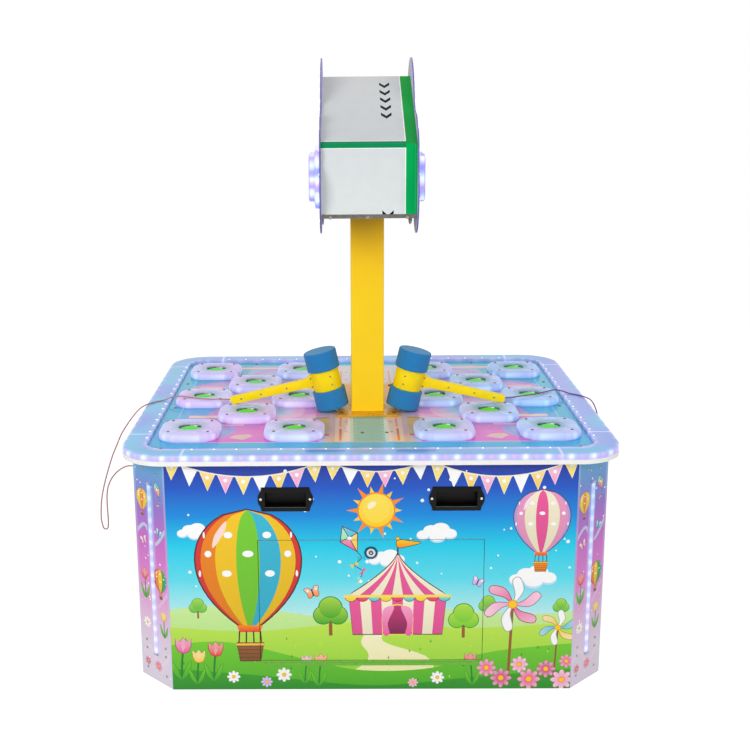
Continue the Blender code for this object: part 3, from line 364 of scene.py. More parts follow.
CORD_DIAMETER = 0.0038
ROUTES = {
    "left": [
        (-0.4274, -0.112, 0.7395), (-0.448, -0.111, 0.7395), (-0.472, -0.102, 0.738),
        (-0.5, -0.083, 0.733), (-0.532, -0.061, 0.73), (-0.57, -0.042, 0.7297),
        (-0.6, -0.032, 0.73), (-0.625, -0.025, 0.725), (-0.648, -0.027, 0.7168),
        (-0.674, -0.048, 0.7163), (-0.699, -0.088, 0.7167), (-0.713, -0.129, 0.714),
        (-0.7263, -0.17, 0.7023), (-0.7404, -0.205, 0.684), (-0.7521, -0.235, 0.6646),
        (-0.7621, -0.262, 0.6387), (-0.7713, -0.284, 0.6147), (-0.7807, -0.305, 0.5822),
        (-0.7886, -0.322, 0.5514), (-0.7943, -0.335, 0.525), (-0.7986, -0.347, 0.4956),
        (-0.8, -0.357, 0.4655), (-0.7987, -0.366, 0.4404), (-0.7948, -0.3708, 0.425),
        (-0.7917, -0.3742, 0.4168), (-0.7853, -0.3775, 0.4139), (-0.7789, -0.38, 0.4168),
        (-0.7758, -0.382, 0.425), (-0.7742, -0.384, 0.4471), (-0.7741, -0.387, 0.4765),
        (-0.7737, -0.389, 0.5107), (-0.7706, -0.391, 0.5391), (-0.764, -0.392, 0.5608),
        (-0.7528, -0.394, 0.5818), (-0.7362, -0.396, 0.6002), (-0.717, -0.398, 0.6133),
        (-0.703, -0.3996, 0.618), (-0.693, -0.4, 0.618), (-0.6836, -0.4, 0.618),
    ],
    "right": [
        (0.4274, -0.112, 0.7395), (0.448, -0.1105, 0.74), (0.472, -0.098, 0.74),
        (0.502, -0.074, 0.7375), (0.535, -0.043, 0.7335), (0.572, -0.006, 0.7305),
        (0.604, 0.018, 0.7303), (0.63, 0.028, 0.7248), (0.655, 0.025, 0.7168),
        (0.68, 0.005, 0.7163), (0.6985, -0.025, 0.7167), (0.712, -0.052, 0.7125),
        (0.7215, -0.072, 0.693), (0.729, -0.085, 0.66), (0.735, -0.09, 0.615),
        (0.739, -0.088, 0.565), (0.741, -0.08, 0.515), (0.741, -0.068, 0.47),
        (0.74, -0.05, 0.435), (0.738, -0.028, 0.417), (0.736, -0.004, 0.413),
        (0.734, 0.02, 0.425), (0.732, 0.04, 0.452), (0.73, 0.054, 0.49),
        (0.727, 0.062, 0.53), (0.722, 0.067, 0.568), (0.713, 0.069, 0.598),
        (0.701, 0.07, 0.614), (0.692, 0.07, 0.618), (0.6836, 0.07, 0.618),
    ],
}
GLAND_Y, GLAND_Z = {"left": -0.4, "right": 0.07}, 0.618

GLAND_PROFILE = [
    (0.006, -PANEL), (0.006, GAP), (0.01, GAP), (0.0102, 0.0009), (0.01, 0.002), (0.0093, 0.0024),
    (0.0066, 0.0025), (0.0062, 0.0034), (0.0055, 0.006), (0.004, 0.0083), (0.0022, 0.0083), (0.0022, 0.004),
]
GLAND_BORE = 0.0063


def spline(points, per_step):
    """The points of a smooth curve from the second given point to the last but one."""
    for a, b, c, d in zip(points, points[1:], points[2:], points[3:]):
        for step in range(per_step):
            t = step / per_step
            curve = 2 * b + (c - a) * t + (2 * a - 5 * b + 4 * c - d) * t ** 2
            curve += (3 * b - a - 3 * c + d) * t ** 3
            yield curve / 2


def smooth_line(points, per_step=4):
    """Points on a smooth curve through the given ones."""
    route = [Vector(point) for point in points]
    ends = [2 * route[0] - route[1], *route, 2 * route[-1] - route[-2]]
    return [*spline(ends, per_step), route[-1]]


for side_name, side in SIDES.items():
    line = smooth_line(ROUTES[side_name][::-1])
    data = bpy.data.curves.new(f"hammer_cord_tube_{side_name}", "CURVE")
    data.dimensions = "3D"
    data.bevel_depth = CORD_DIAMETER / 2
    data.bevel_resolution = 4
    data.use_fill_caps = True
    run = data.splines.new("POLY")
    run.points.add(len(line) - 1)
    for point, spot in zip(run.points, line):
        point.co = (*spot, 1.0)
    data.materials.append(cord_skins[side_name])
    cord = linked(f"hammer_cord_tube_{side_name}", data)
    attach(cord, "root")
    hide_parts(f"hammer_cord_{side_name}")

    # The gland that it comes out of
    build = bmesh.new()
    place = axes_at((side * SIDE_X, GLAND_Y[side_name], GLAND_Z), (0, 1, 0), (0, 0, 1), (side, 0, 0))
    loft(build, turned_rings(place, GLAND_PROFILE, circle(24)))
    piece(f"cord_gland_moulding_{side_name}", build, [black_plastic],
          stands_for=(f"cord_gland_{side_name}",))


# Flat art: outlines in painting order, cut into one mesh that carries the colours


def ellipse(x, y, wide, high=None, steps=28, turn=0.0):
    high = wide if high is None else high
    return moved([(wide * math.cos(t), high * math.sin(t)) for t in circle(steps)], x, y, 1.0, turn)


def smooth_outline(points, per_step=6):
    """A closed smooth curve through the points."""
    loop = [Vector(point) for point in [points[-1], *points, *points[:2]]]
    return [tuple(spot) for spot in spline(loop, per_step)]


def ribbon(points, width, smooth=5):
    """A band of even width along a line, which is smooth unless that is 0."""
    line = [Vector((x, y, 0.0)) for x, y in points]
    if smooth and len(line) > 2:
        line = smooth_line(line, smooth)
    left, right = [], []
    for i, spot in enumerate(line):
        ahead_of = line[min(i + 1, len(line) - 1)] - line[max(i - 1, 0)]
        across = Vector((-ahead_of.y, ahead_of.x, 0.0)).normalized() * width / 2
        left.append(tuple((spot + across).xy))
        right.append(tuple((spot - across).xy))
    return left + right[::-1]


def star(x, y, radius, inner=0.5, turn=math.pi / 2):
    sizes = [radius, radius * inner] * 5
    return [(x + size * math.cos(turn + angle), y + size * math.sin(turn + angle))
            for size, angle in zip(sizes, circle(len(sizes)))]


def moved(outline, x, y, scale=1.0, turn=0.0):
    cos, sin = math.cos(turn) * scale, math.sin(turn) * scale
    return [(x + a * cos - b * sin, y + a * sin + b * cos) for a, b in outline]


def box(a, b, low, high):
    return [(a, low), (b, low), (b, high), (a, high)]


def rectangle(half, low, high, middle=0.0):
    return box(middle - half, middle + half, low, high)


def turns_left(outline):
    pairs = zip([outline[-1], *outline], outline)
    return sum(a[0] * b[1] - b[0] * a[1] for a, b in pairs) > 0


def grown(outline, by):
    """The outline moved outward along its own normals."""
    sign = 1 if turns_left(outline) else -1
    made = []
    for before, spot, after in zip([outline[-1], *outline], outline, [*outline[1:], outline[0]]):
        along = Vector(after) - Vector(before)
        normal = Vector((along.y, -along.x)).normalized() * sign
        made.append((spot[0] + normal.x * by, spot[1] + normal.y * by))
    return made


class Picture:
    """Flat art on a board: the first shapes, given to base, are the board itself."""

    def __init__(self):
        self.shapes = []
        self.bases = 0
        self.holes = []
        self.zones = []

    def base(self, outline, colour, second=None):
        self.paint(outline, colour, second)
        self.bases = len(self.shapes)

    def paint(self, outline, colour, second=None, way=(0.0, 1.0)):
        """Fills an outline with a colour, which may run to a second one along a direction."""
        outline = [tuple(point) for point in (outline if turns_left(outline) else outline[::-1])]
        reach = [a * way[0] + b * way[1] for a, b in outline]
        self.shapes.append((outline, colour, second or colour, way, min(reach), max(reach)))

    def bands(self, half, levels, colours):
        """A background that runs through the colours from level to level."""
        for low, high, a, b in zip(levels, levels[1:], colours, colours[1:]):
            self.base(rectangle(half, low, high), a, b)

    def outlined(self, outline, colour, second, edge, width, way=(0.0, 1.0)):
        self.paint(grown(outline, width), edge)
        self.paint(outline, colour, second, way)

    def cut(self):
        """The board's points, and its triangles as (zone, three points, three colours)."""
        points, faces = [], []
        for outline in [shape[0] for shape in self.shapes] + self.holes + self.zones:
            faces.append(list(range(len(points), len(points) + len(outline))))
            points += [Vector(point) for point in outline]
        spots, _, parts, _, _, owners = geometry.delaunay_2d_cdt(points, [], faces, 1, 1e-6)
        count = len(self.shapes)
        made = []
        for part, owned in zip(parts, owners):
            in_board = any(owner < self.bases for owner in owned)
            in_hole = any(count <= owner < count + len(self.holes) for owner in owned)
            if in_hole or not in_board:
                continue
            zone = any(owner >= count + len(self.holes) for owner in owned)
            _, low_colour, high_colour, way, low, high = self.shapes[max(o for o in owned if o < count)]
            colours = []
            for index in part:
                share = (spots[index].x * way[0] + spots[index].y * way[1] - low) / max(high - low, 1e-9)
                colours.append(mixed(low_colour, high_colour, clamped(share)))
            made.append((zone, part, colours))
        return spots, made


def board(picture, place, thick, name, finishes, zone=False, body="root", stands_for=(), glow=0.0):
    """A closed sheet with the picture on its outer side, where place's height is 0."""
    spots, triangles = picture.cut()
    build = bmesh.new()
    paint = build.loops.layers.float_color.new("paint")
    lit = build.loops.layers.float_color.new("glow") if glow else None
    outer, inner, edges = {}, {}, {}
    for in_zone, part, colours in triangles:
        if in_zone != zone:
            continue
        for index in part:
            if index not in outer:
                outer[index] = build.verts.new(place(spots[index].x, spots[index].y, 0.0))
                inner[index] = build.verts.new(place(spots[index].x, spots[index].y, -thick))
        try:
            face = build.faces.new([outer[index] for index in part])
            back = build.faces.new([inner[index] for index in reversed(part)])
        except ValueError:
            continue
        back.material_index = len(finishes) - 1
        for loop, colour in zip(face.loops, colours):
            loop[paint] = (*colour, 1.0)
            if lit:
                loop[lit] = (*dimmed(colour, glow), 1.0)
        for a, b in zip(part, part[1:] + part[:1]):
            edges[(a, b)] = True
    for a, b in edges:
        if (b, a) not in edges:
            rim = build.faces.new((outer[b], outer[a], inner[a], inner[b]))
            rim.material_index = 1
    return piece(name, build, finishes, body, stands_for, smooth=25.0)


# Colours of the printed panels

NIGHT, DEEP, AZURE = rgb(38, 52, 150), rgb(34, 88, 196), rgb(20, 140, 222)
CYAN, PALE, HAZE = rgb(36, 206, 236), rgb(168, 236, 240), rgb(236, 250, 246)
GRASS, LIME, LEAF, MOSS = rgb(120, 206, 52), rgb(196, 232, 84), rgb(66, 168, 38), rgb(36, 128, 44)
CREAM, WHITE, BUTTER = rgb(255, 246, 214), rgb(255, 255, 255), rgb(255, 226, 92)
YELLOW, ORANGE, RED = rgb(255, 208, 40), rgb(252, 142, 34), rgb(236, 62, 56)
PINK, ROSE, MAGENTA = rgb(250, 164, 204), rgb(240, 92, 158), rgb(214, 44, 132)
LILAC, VIOLET, BROWN = rgb(206, 170, 240), rgb(136, 84, 196), rgb(150, 92, 48)
INK, SEA, MINT = rgb(66, 40, 44), rgb(60, 190, 220), rgb(158, 232, 190)
UNDER_CLOUD = rgb(196, 228, 250)


def way_of(turn):
    return (math.cos(turn), math.sin(turn))


def tapered(x, half_one, one, half_two, two):
    """A figure that goes from one half width to another, between two levels."""
    return [(x - half_one, one), (x + half_one, one), (x + half_two, two), (x - half_two, two)]


# Motifs. Bare numbers in them are shares of the motif's own size


def hot_air_balloon(art, x, y, size, gores, basket=BROWN):
    """An envelope in upright stripes over a basket; size is the envelope's half width."""
    throat = 1.35

    def half_width(level):
        if level > 0:
            return size * math.sqrt(max(1 - level * level, 0.0))
        return size * (1 - 0.8 * (-level / throat) ** 2.1)

    def meridian(share):
        return [(x + share * half_width(v), y + v * size) for v in levels]

    levels = [1 - step / 9 for step in range(10)] + [-throat * step / 9 for step in range(1, 10)]
    count = len(gores)
    shares = [math.sin(math.pi / 2 * (2 * k / count - 1)) for k in range(count + 1)]
    art.paint(grown(meridian(1) + meridian(-1)[::-1], size * 0.028), INK)
    for k in range(count):
        shade = 1 - 0.16 * abs(k - (count - 1) / 2) / count * 2
        base = dimmed(gores[k], shade)
        art.paint(meridian(shares[k]) + meridian(shares[k + 1])[::-1], dimmed(base, 0.82), base)
    for row, level in ((0, 0.5), (1, 0.12), (0, -0.28)):
        for k in range(row, count, 2):
            middle = (shares[k] + shares[k + 1]) / 2
            wide = (shares[k + 1] - shares[k]) * half_width(level) * 0.24
            spot = ellipse(x + middle * half_width(level), y + level * size, wide, size * 0.066, 16)
            art.paint(spot, WHITE)
    skirt = half_width(-throat)
    low = y - throat * size
    art.paint(tapered(x, skirt * 1.25, low, skirt, low - size * 0.14), RED, ORANGE)
    top = low - size * 0.42
    for offset in (-1.0, -0.34, 0.34, 1.0):
        rope = [(x + offset * skirt, low - size * 0.12), (x + offset * size * 0.22, top)]
        art.paint(ribbon(rope, size * 0.028, 0), INK)
    tub = tapered(x, size * 0.25, top, size * 0.19, top - size * 0.32)
    art.outlined(tub, dimmed(basket, 0.7), basket, INK, size * 0.02)
    for k in range(1, 4):
        level = top - size * 0.08 * k
        art.paint(tapered(x, size * 0.225, level, size * 0.22, level - size * 0.022), dimmed(basket, 0.5))
    roof = tapered(x, size * 0.27, top + size * 0.05, size * 0.27, top)
    art.outlined(roof, BUTTER, ORANGE, INK, size * 0.015)
    shine = moved([(-0.62, 0.5), (-0.4, 0.78), (-0.44, 0.55), (-0.66, 0.24)], x, y, size)
    art.paint(smooth_outline(shine), mixed(gores[1], WHITE, 0.65))


def big_top(art, x, y, wide, high, one, two, stripes=9):
    """A striped tent with a fanned roof, a scalloped valance and an open doorway."""
    eaves, peak = y + high * 0.46, y + high
    valance = eaves + high * 0.015
    half = wide / 2
    rows = [step / 8 for step in range(9)]
    cuts = [(2 * k / stripes - 1, 2 * (k + 1) / stripes - 1) for k in range(stripes)]

    def slope(share):
        made = []
        for level in rows:
            spread = (1 - level) ** 1.45 * 0.93 + (1 - level) * 0.07
            made.append((x + share * half * 1.08 * spread, eaves + (peak - eaves) * level))
        return made

    art.paint(grown(tapered(x, half * 0.92, y, half, eaves), wide * 0.01), INK)
    for k, (a, b) in enumerate(cuts):
        colour = two if k % 2 else one
        stripe = [(x + a * half * 0.92, y), (x + b * half * 0.92, y), (x + b * half, eaves),
                  (x + a * half, eaves)]
        art.paint(stripe, dimmed(colour, 0.86), colour)
    door = [(x - half * 0.3, y)]
    for t in [math.pi - turn for turn in arc(0.0, 10)]:
        door.append((x + half * 0.3 * math.cos(t), y + high * (0.2 + 0.16 * math.sin(t))))
    door.append((x + half * 0.3, y))
    art.outlined(door, rgb(120, 30, 80), rgb(200, 60, 120), BUTTER, wide * 0.014)
    for sign in (-1, 1):
        fold = [(0.3, 0.3), (0.07, 0.34), (0.2, 0.14), (0.16, 0.002), (0.29, 0.002)]
        fold = [(x + sign * half * a, y + high * b) for a, b in fold]
        art.paint(smooth_outline(fold, 4), ROSE, PINK)
    art.paint(grown(slope(1) + slope(-1)[::-1], wide * 0.01), INK)
    for k, (a, b) in enumerate(cuts):
        colour = one if k % 2 else two
        art.paint(slope(b) + slope(a)[::-1], dimmed(colour, 0.9), colour)
    for k in range(stripes):
        middle = (2 * k + 1) / stripes - 1
        radius = half * 1.08 / stripes
        scallop = [(x + middle * half * 1.08 + radius * math.cos(t), valance + radius * 0.95 * math.sin(t))
                   for t in arc(math.pi, 10)]
        art.outlined(scallop, (YELLOW, RED, SEA)[k % 3], (BUTTER, ROSE, MINT)[k % 3], INK, wide * 0.006)
    art.paint(ribbon([(x - half * 1.1, valance), (x + half * 1.1, valance)], wide * 0.028, 0), BUTTER)
    art.paint(ribbon([(x, peak - high * 0.02), (x, peak + high * 0.17)], wide * 0.016, 0), INK)
    flag = [(0.0, 0.165), (0.24, 0.15), (0.46, 0.13), (0.22, 0.09), (0.0, 0.075)]
    flag = smooth_outline([(x + half * a, peak + high * b) for a, b in flag], 4)
    art.outlined(flag, ORANGE, YELLOW, INK, wide * 0.007)
    art.outlined(ellipse(x, peak + high * 0.18, wide * 0.018), YELLOW, None, INK, wide * 0.005)


def kite(art, x, y, size, turn, colours, tail):
    corners = moved([(0.0, 1.0), (0.66, 0.1), (0.0, -1.1), (-0.66, 0.1)], x, y, size, turn)
    art.paint(grown(corners, size * 0.08), INK)
    for k in range(4):
        colour = colours[k % len(colours)]
        art.paint([(x, y), corners[k], corners[(k + 1) % 4]], colour, mixed(colour, WHITE, 0.25))
    for start, end in ((0, 2), (3, 1)):
        art.paint(ribbon([corners[start], corners[end]], size * 0.05, 0), INK)
    art.paint(ellipse(x, y, size * 0.15), WHITE)
    line = [corners[2], *moved(tail, *corners[2], size)]
    art.paint(ribbon(line, size * 0.055), INK)
    for k, spot in enumerate(line[1:]):
        for sign in (-1, 1):
            bow = moved([(0, 0), (0.26, 0.17), (0.26, -0.17)], *spot, size * sign, 0.5 * k)
            art.paint(bow, colours[k % len(colours)])


def cloud(art, x, y, size):
    puffs = [(-0.95, 0.0, 0.42), (-0.42, 0.3, 0.52), (0.22, 0.4, 0.6), (0.82, 0.08, 0.46), (0.0, -0.08, 0.55)]
    for a, b, r in puffs:
        art.paint(ellipse(x + a * size, y + b * size, r * size * 1.05, r * size * 0.8), UNDER_CLOUD)
    for a, b, r in puffs:
        art.paint(ellipse(x + a * size, y + (b + 0.07) * size, r * size * 0.98, r * size * 0.7), WHITE)


def sun(art, x, y, size, rays=14):
    for k, turn in enumerate(circle(rays)):
        foot = (0.86 * math.cos(0.2), 0.86 * math.sin(0.2))
        ray = [(foot[0], -foot[1]), (1.62 if k % 2 else 1.38, 0.0), foot]
        art.paint(moved(ray, x, y, size, turn), ORANGE if k % 2 else YELLOW)
    art.paint(ellipse(x, y, size * 1.02), ORANGE)
    art.paint(ellipse(x, y, size * 0.94), YELLOW, BUTTER)
    art.paint(ellipse(x, y, size * 0.7), rgb(255, 220, 70), BUTTER)
    art.paint(ellipse(x - size * 0.25, y + size * 0.3, size * 0.26, size * 0.16, 20, 0.7), CREAM)


def tulip(art, x, y, high, colour, lean=0.0):
    top = (x + lean * high, y + high)
    art.paint(ribbon([(x, y), (x + lean * high * 0.3, y + high * 0.5), top], high * 0.055), MOSS)
    for sign in (-1, 1):
        leaf = moved([(0.0, 0.0), (sign * 0.2, 0.2), (sign * 0.27, 0.58), (sign * 0.08, 0.26)], x, y, high)
        art.outlined(smooth_outline(leaf, 4), LEAF, GRASS, MOSS, high * 0.012)
    cup = [(-0.2, 0.02), (-0.13, -0.15), (0.0, -0.2), (0.13, -0.15), (0.2, 0.02), (0.21, 0.24), (0.1, 0.13),
           (0.0, 0.27), (-0.1, 0.13), (-0.21, 0.24)]
    shine = [(-0.02, -0.16), (0.06, 0.0), (0.0, 0.16), (-0.06, 0.0)]
    art.outlined(moved(cup, *top, high), colour, mixed(colour, WHITE, 0.45), dimmed(colour, 0.4), high * 0.02)
    art.paint(moved(shine, *top, high), mixed(colour, WHITE, 0.35))


def daisy(art, x, y, size, petal, petals=8):
    turns = [(turn, x + 0.62 * size * math.cos(turn), y + 0.62 * size * math.sin(turn))
             for turn in circle(petals)]
    for turn, *spot in turns:
        art.paint(ellipse(*spot, size * 0.46, size * 0.27, 18, turn), mixed(petal, INK, 0.28))
    for turn, *spot in turns:
        outline = ellipse(*spot, size * 0.41, size * 0.225, 18, turn)
        art.paint(outline, petal, mixed(petal, WHITE, 0.5), way_of(turn))
    art.paint(ellipse(x, y, size * 0.31, None, 20), ORANGE)
    art.paint(ellipse(x, y, size * 0.24, None, 20), YELLOW)


def pinwheel(art, x, y, size, colours, foot, blades=6):
    """A paper windmill on a stick whose foot is given."""
    art.paint(ribbon([(x, y), foot], size * 0.1, 0), BROWN)
    blade = smooth_outline([(0.0, 0.0), (0.36, 0.1), (0.78, 0.46), (0.98, 0.3), (0.62, -0.06)], 4)
    for k, turn in enumerate(circle(blades)):
        colour = colours[k % len(colours)]
        art.outlined(moved(blade, x, y, size, turn), colour, mixed(colour, WHITE, 0.45), dimmed(colour, 0.35),
                     size * 0.028, way_of(turn))
    art.outlined(ellipse(x, y, size * 0.14, None, 20), YELLOW, None, ORANGE, size * 0.03)


def tree(art, x, y, size, crown=LEAF):
    art.paint(ribbon([(x, y), (x, y + size * 1.1)], size * 0.2, 0), BROWN)
    for grow, one, two in ((1.05, MOSS, MOSS), (0.97, crown, mixed(crown, LIME, 0.7))):
        for a, b, r in ((-0.42, 1.25, 0.55), (0.42, 1.25, 0.55), (0.0, 1.72, 0.66)):
            art.paint(ellipse(x + a * size, y + b * size, r * size * grow), one, two)


def hills(art, half, points, colour, second, low=-0.02):
    """Ground up to a smooth line through the points, across the whole width."""
    line = smooth_line([Vector((a * half, b, 0.0)) for a, b in points], 8)
    art.paint([(spot.x, spot.y) for spot in line] + [(line[-1].x, low), (line[0].x, low)], second, colour)


def bunting(art, start, end, sag, flags, size=0.05):
    """A drooping string of pennants."""
    line = []
    for k in range(flags * 2 + 1):
        t = k / (flags * 2)
        line.append((start[0] + (end[0] - start[0]) * t,
                     start[1] + (end[1] - start[1]) * t - sag * 4 * t * (1 - t)))
    for k in range(flags):
        a, b, c = line[2 * k:2 * k + 3]
        colour = PENNANTS[k % len(PENNANTS)]
        corners = [(b[0] + (end_of[0] - b[0]) * 0.8, b[1] + (end_of[1] - b[1]) * 0.8) for end_of in (a, c)]
        shape = [*corners, (b[0], b[1] - size)]
        art.paint(grown(shape, size * 0.07), mixed(colour, WHITE, 0.55))
        art.paint(shape, colour, mixed(colour, WHITE, 0.35))
        art.paint(ellipse(b[0], b[1] - size * 0.28, size * 0.11, None, 14), WHITE)
    art.paint(ribbon(line, size * 0.07, 0), CREAM)


def butterfly(art, x, y, size, colour, turn=0.3):
    for sign in (-1, 1):
        wings = [(0.0, 0.05), (0.5, 0.85), (1.05, 0.75), (0.8, 0.1), (0.75, -0.6), (0.3, -0.65)]
        wings = smooth_outline([(sign * a, b) for a, b in wings], 4)
        art.outlined(moved(wings, x, y, size, turn), colour, mixed(colour, WHITE, 0.5), INK, size * 0.07)
        art.paint(moved(ellipse(sign * 0.62, 0.42, 0.16, None, 14), x, y, size, turn), WHITE)
    art.paint(moved(ellipse(0.0, 0.0, 0.11, 0.62, 16), x, y, size, turn), INK)


def specks(art, seed, half, low, high, count, sizes=(0.0022, 0.0055)):
    """White dots scattered over the sky."""
    scatter = random.Random(seed)
    for _ in range(count):
        spot = (scatter.uniform(-half, half), scatter.uniform(low, high))
        art.paint(ellipse(*spot, scatter.uniform(*sizes), None, 12), WHITE)


SKY = [rgb(214, 246, 226), HAZE, PALE, rgb(96, 222, 240), CYAN, AZURE, DEEP, NIGHT]
SKY_LEVELS = [0.0, 0.16, 0.26, 0.34, 0.44, 0.53, 0.61, CABINET_TOP]
TUFT = [(0.0, 0.0), (-0.5, 0.9), (-0.12, 0.35), (0.0, 1.2), (0.14, 0.35), (0.55, 0.85)]
PENNANTS = [BUTTER, WHITE, YELLOW, PINK]


def meadow(art, half, seed):
    """The sky and hills that all four sides share. Points are a share of the half width and a height."""
    art.bands(half, SKY_LEVELS, SKY)
    specks(art, seed, half * 0.98, 0.3, CABINET_TOP - 0.01, int(half * 95))
    for a, b, size in ((-0.62, 0.3, 0.046), (0.08, 0.395, 0.038), (0.8, 0.335, 0.05)):
        cloud(art, half * a, b, size)
    hills(art, half, [(-1.2, 0.235), (-0.7, 0.262), (-0.2, 0.225), (0.3, 0.248), (0.8, 0.232), (1.2, 0.258)],
          rgb(206, 240, 160), rgb(150, 216, 90))
    for a, size in ((-0.86, 0.026), (-0.5, 0.022), (0.2, 0.02), (0.58, 0.028), (0.94, 0.024)):
        tree(art, a * half, 0.222, size, rgb(96, 190, 70))
    hills(art, half, [(-1.2, 0.205), (-0.6, 0.182), (0.0, 0.212), (0.5, 0.19), (1.2, 0.214)], LIME, GRASS)
    trail = [(0.02, 0.204), (0.1, 0.202), (0.06, 0.15), (0.3, 0.09), (0.24, -0.02), (-0.24, -0.02),
             (-0.02, 0.09), (-0.05, 0.15)]
    art.paint(smooth_outline([(half * a, b) for a, b in trail]), rgb(238, 234, 150), CREAM)
    hills(art, half, [(-1.2, 0.125), (-0.75, 0.15), (-0.35, 0.098), (-0.05, 0.06), (0.3, 0.066),
                      (0.62, 0.118), (1.2, 0.152)], GRASS, LEAF)
    hills(art, half, [(-1.2, 0.075), (-0.6, 0.046), (0.0, 0.012), (0.5, 0.036), (1.2, 0.072)], LEAF, MOSS)
    scatter = random.Random(seed + 1)
    for _ in range(int(half * 60)):
        a, b = scatter.uniform(-half, half), scatter.uniform(0.006, 0.16)
        art.paint(moved(TUFT, a, b, 0.01), scatter.choice([MOSS, LIME, LEAF]))


# Cabinet panels

FRONT_PLACE = front_at((0, -FRONT_Y, 0))
BACK_PLACE = axes_at((0, FRONT_Y, 0), (-1, 0, 0), (0, 0, 1), (0, 1, 0))
CUP_HALF_X, CUP_HALF_Z = 0.0586, 0.0233
LOCK_BORE = 0.0098
INLET_X, INLET_Z, INLET_HALF_X, INLET_HALF_Z = 0.35, 0.12, 0.0213, 0.0123
PANEL_LOOKS = [film, film_edge]
RAINBOW = [RED, ORANGE, YELLOW, GRASS, SEA, YELLOW, RED]
PASTEL = [LILAC, PINK, CREAM, ROSE, CREAM, PINK, LILAC]
KITE = [SEA, YELLOW, ROSE, MINT]


def flower_bed(art, tulips, daisies):
    """A row of each: start, pitch, count, height, its step, size, its step and tints."""
    start, pitch, count, low, rise, high, more, tints = tulips
    for k in range(count):
        root, height = low + rise * (k % 3), high + more * (k % 2)
        tulip(art, start + pitch * k, root, height, tints[k % 4], 0.06 * (-1) ** k)
    start, pitch, count, low, rise, size, more, tints = daisies
    for k in range(count):
        daisy(art, start + pitch * k, low + rise * (k % 3), size + more * (k % 3), tints[k % 4])


art = Picture()
meadow(art, FRONT_HALF, 4)
sun(art, 0.015, 0.545, 0.052)
bunting(art, (-0.575, 0.7), (-0.13, 0.69), 0.05, 9)
bunting(art, (-0.13, 0.69), (0.16, 0.69), 0.032, 6, 0.044)
bunting(art, (0.16, 0.69), (0.575, 0.7), 0.052, 9)
cloud(art, 0.185, 0.47, 0.042)
cloud(art, -0.492, 0.478, 0.036)
kite(art, -0.06, 0.462, 0.04, 0.5, KITE, [(0.3, -0.5), (-0.2, -1.0), (0.4, -1.5), (0.1, -2.2)])
hot_air_balloon(art, 0.475, 0.525, 0.078, PASTEL, ORANGE)
big_top(art, 0.075, 0.172, 0.275, 0.245, ROSE, CREAM)
tree(art, -0.115, 0.168, 0.05)
tree(art, 0.262, 0.16, 0.044, GRASS)
hot_air_balloon(art, -0.345, 0.4, 0.148, RAINBOW)
pinwheel(art, 0.4, 0.262, 0.08, [PINK, WHITE, ROSE], (0.392, 0.03))
pinwheel(art, 0.53, 0.19, 0.052, [SEA, WHITE, YELLOW], (0.522, 0.02))
butterfly(art, -0.165, 0.3, 0.02, ORANGE)
butterfly(art, 0.3, 0.33, 0.016, LILAC, -0.4)
for x, y, high, tint in (
    (-0.545, 0.03, 0.105, ROSE), (-0.5, 0.016, 0.086, YELLOW), (-0.452, 0.026, 0.098, RED),
    (-0.19, 0.018, 0.07, PINK), (-0.15, 0.01, 0.08, ORANGE), (0.29, 0.012, 0.08, RED),
):
    tulip(art, x, y, high, tint, 0.08 if x < 0 else -0.08)
for x, y, size, tint in (
    (-0.25, 0.046, 0.021, WHITE), (-0.3, 0.024, 0.016, LILAC), (-0.395, 0.04, 0.018, WHITE),
    (0.19, 0.036, 0.019, WHITE), (0.33, 0.066, 0.026, ROSE), (0.372, 0.034, 0.029, MAGENTA),
    (0.424, 0.076, 0.024, PINK), (0.452, 0.03, 0.031, ROSE), (0.5, 0.062, 0.026, MAGENTA),
    (0.546, 0.028, 0.03, PINK), (0.558, 0.086, 0.02, ROSE), (0.12, 0.02, 0.014, PINK),
):
    daisy(art, x, y, size, tint)
art.holes = [rectangle(CUP_HALF_X, PULL_Z - CUP_HALF_Z, PULL_Z + CUP_HALF_Z, side * PULL_X)
             for side in SIDES.values()]
art.zones = [rectangle(DOOR_X + DOOR_GAP, DOOR_LOW - DOOR_GAP, DOOR_HIGH + DOOR_GAP)]
board(art, FRONT_PLACE, PANEL, "front_board", PANEL_LOOKS, stands_for=("front_panel",))

# The service door shows the middle of the same picture
art.holes = [ellipse(0.0, LOCK_Z, LOCK_BORE, None, 32)]
art.zones = [rectangle(DOOR_X, DOOR_LOW, DOOR_HIGH)]
board(art, FRONT_PLACE, PANEL, "service_door_board", PANEL_LOOKS, zone=True, body="door",
      stands_for=("service_door",))

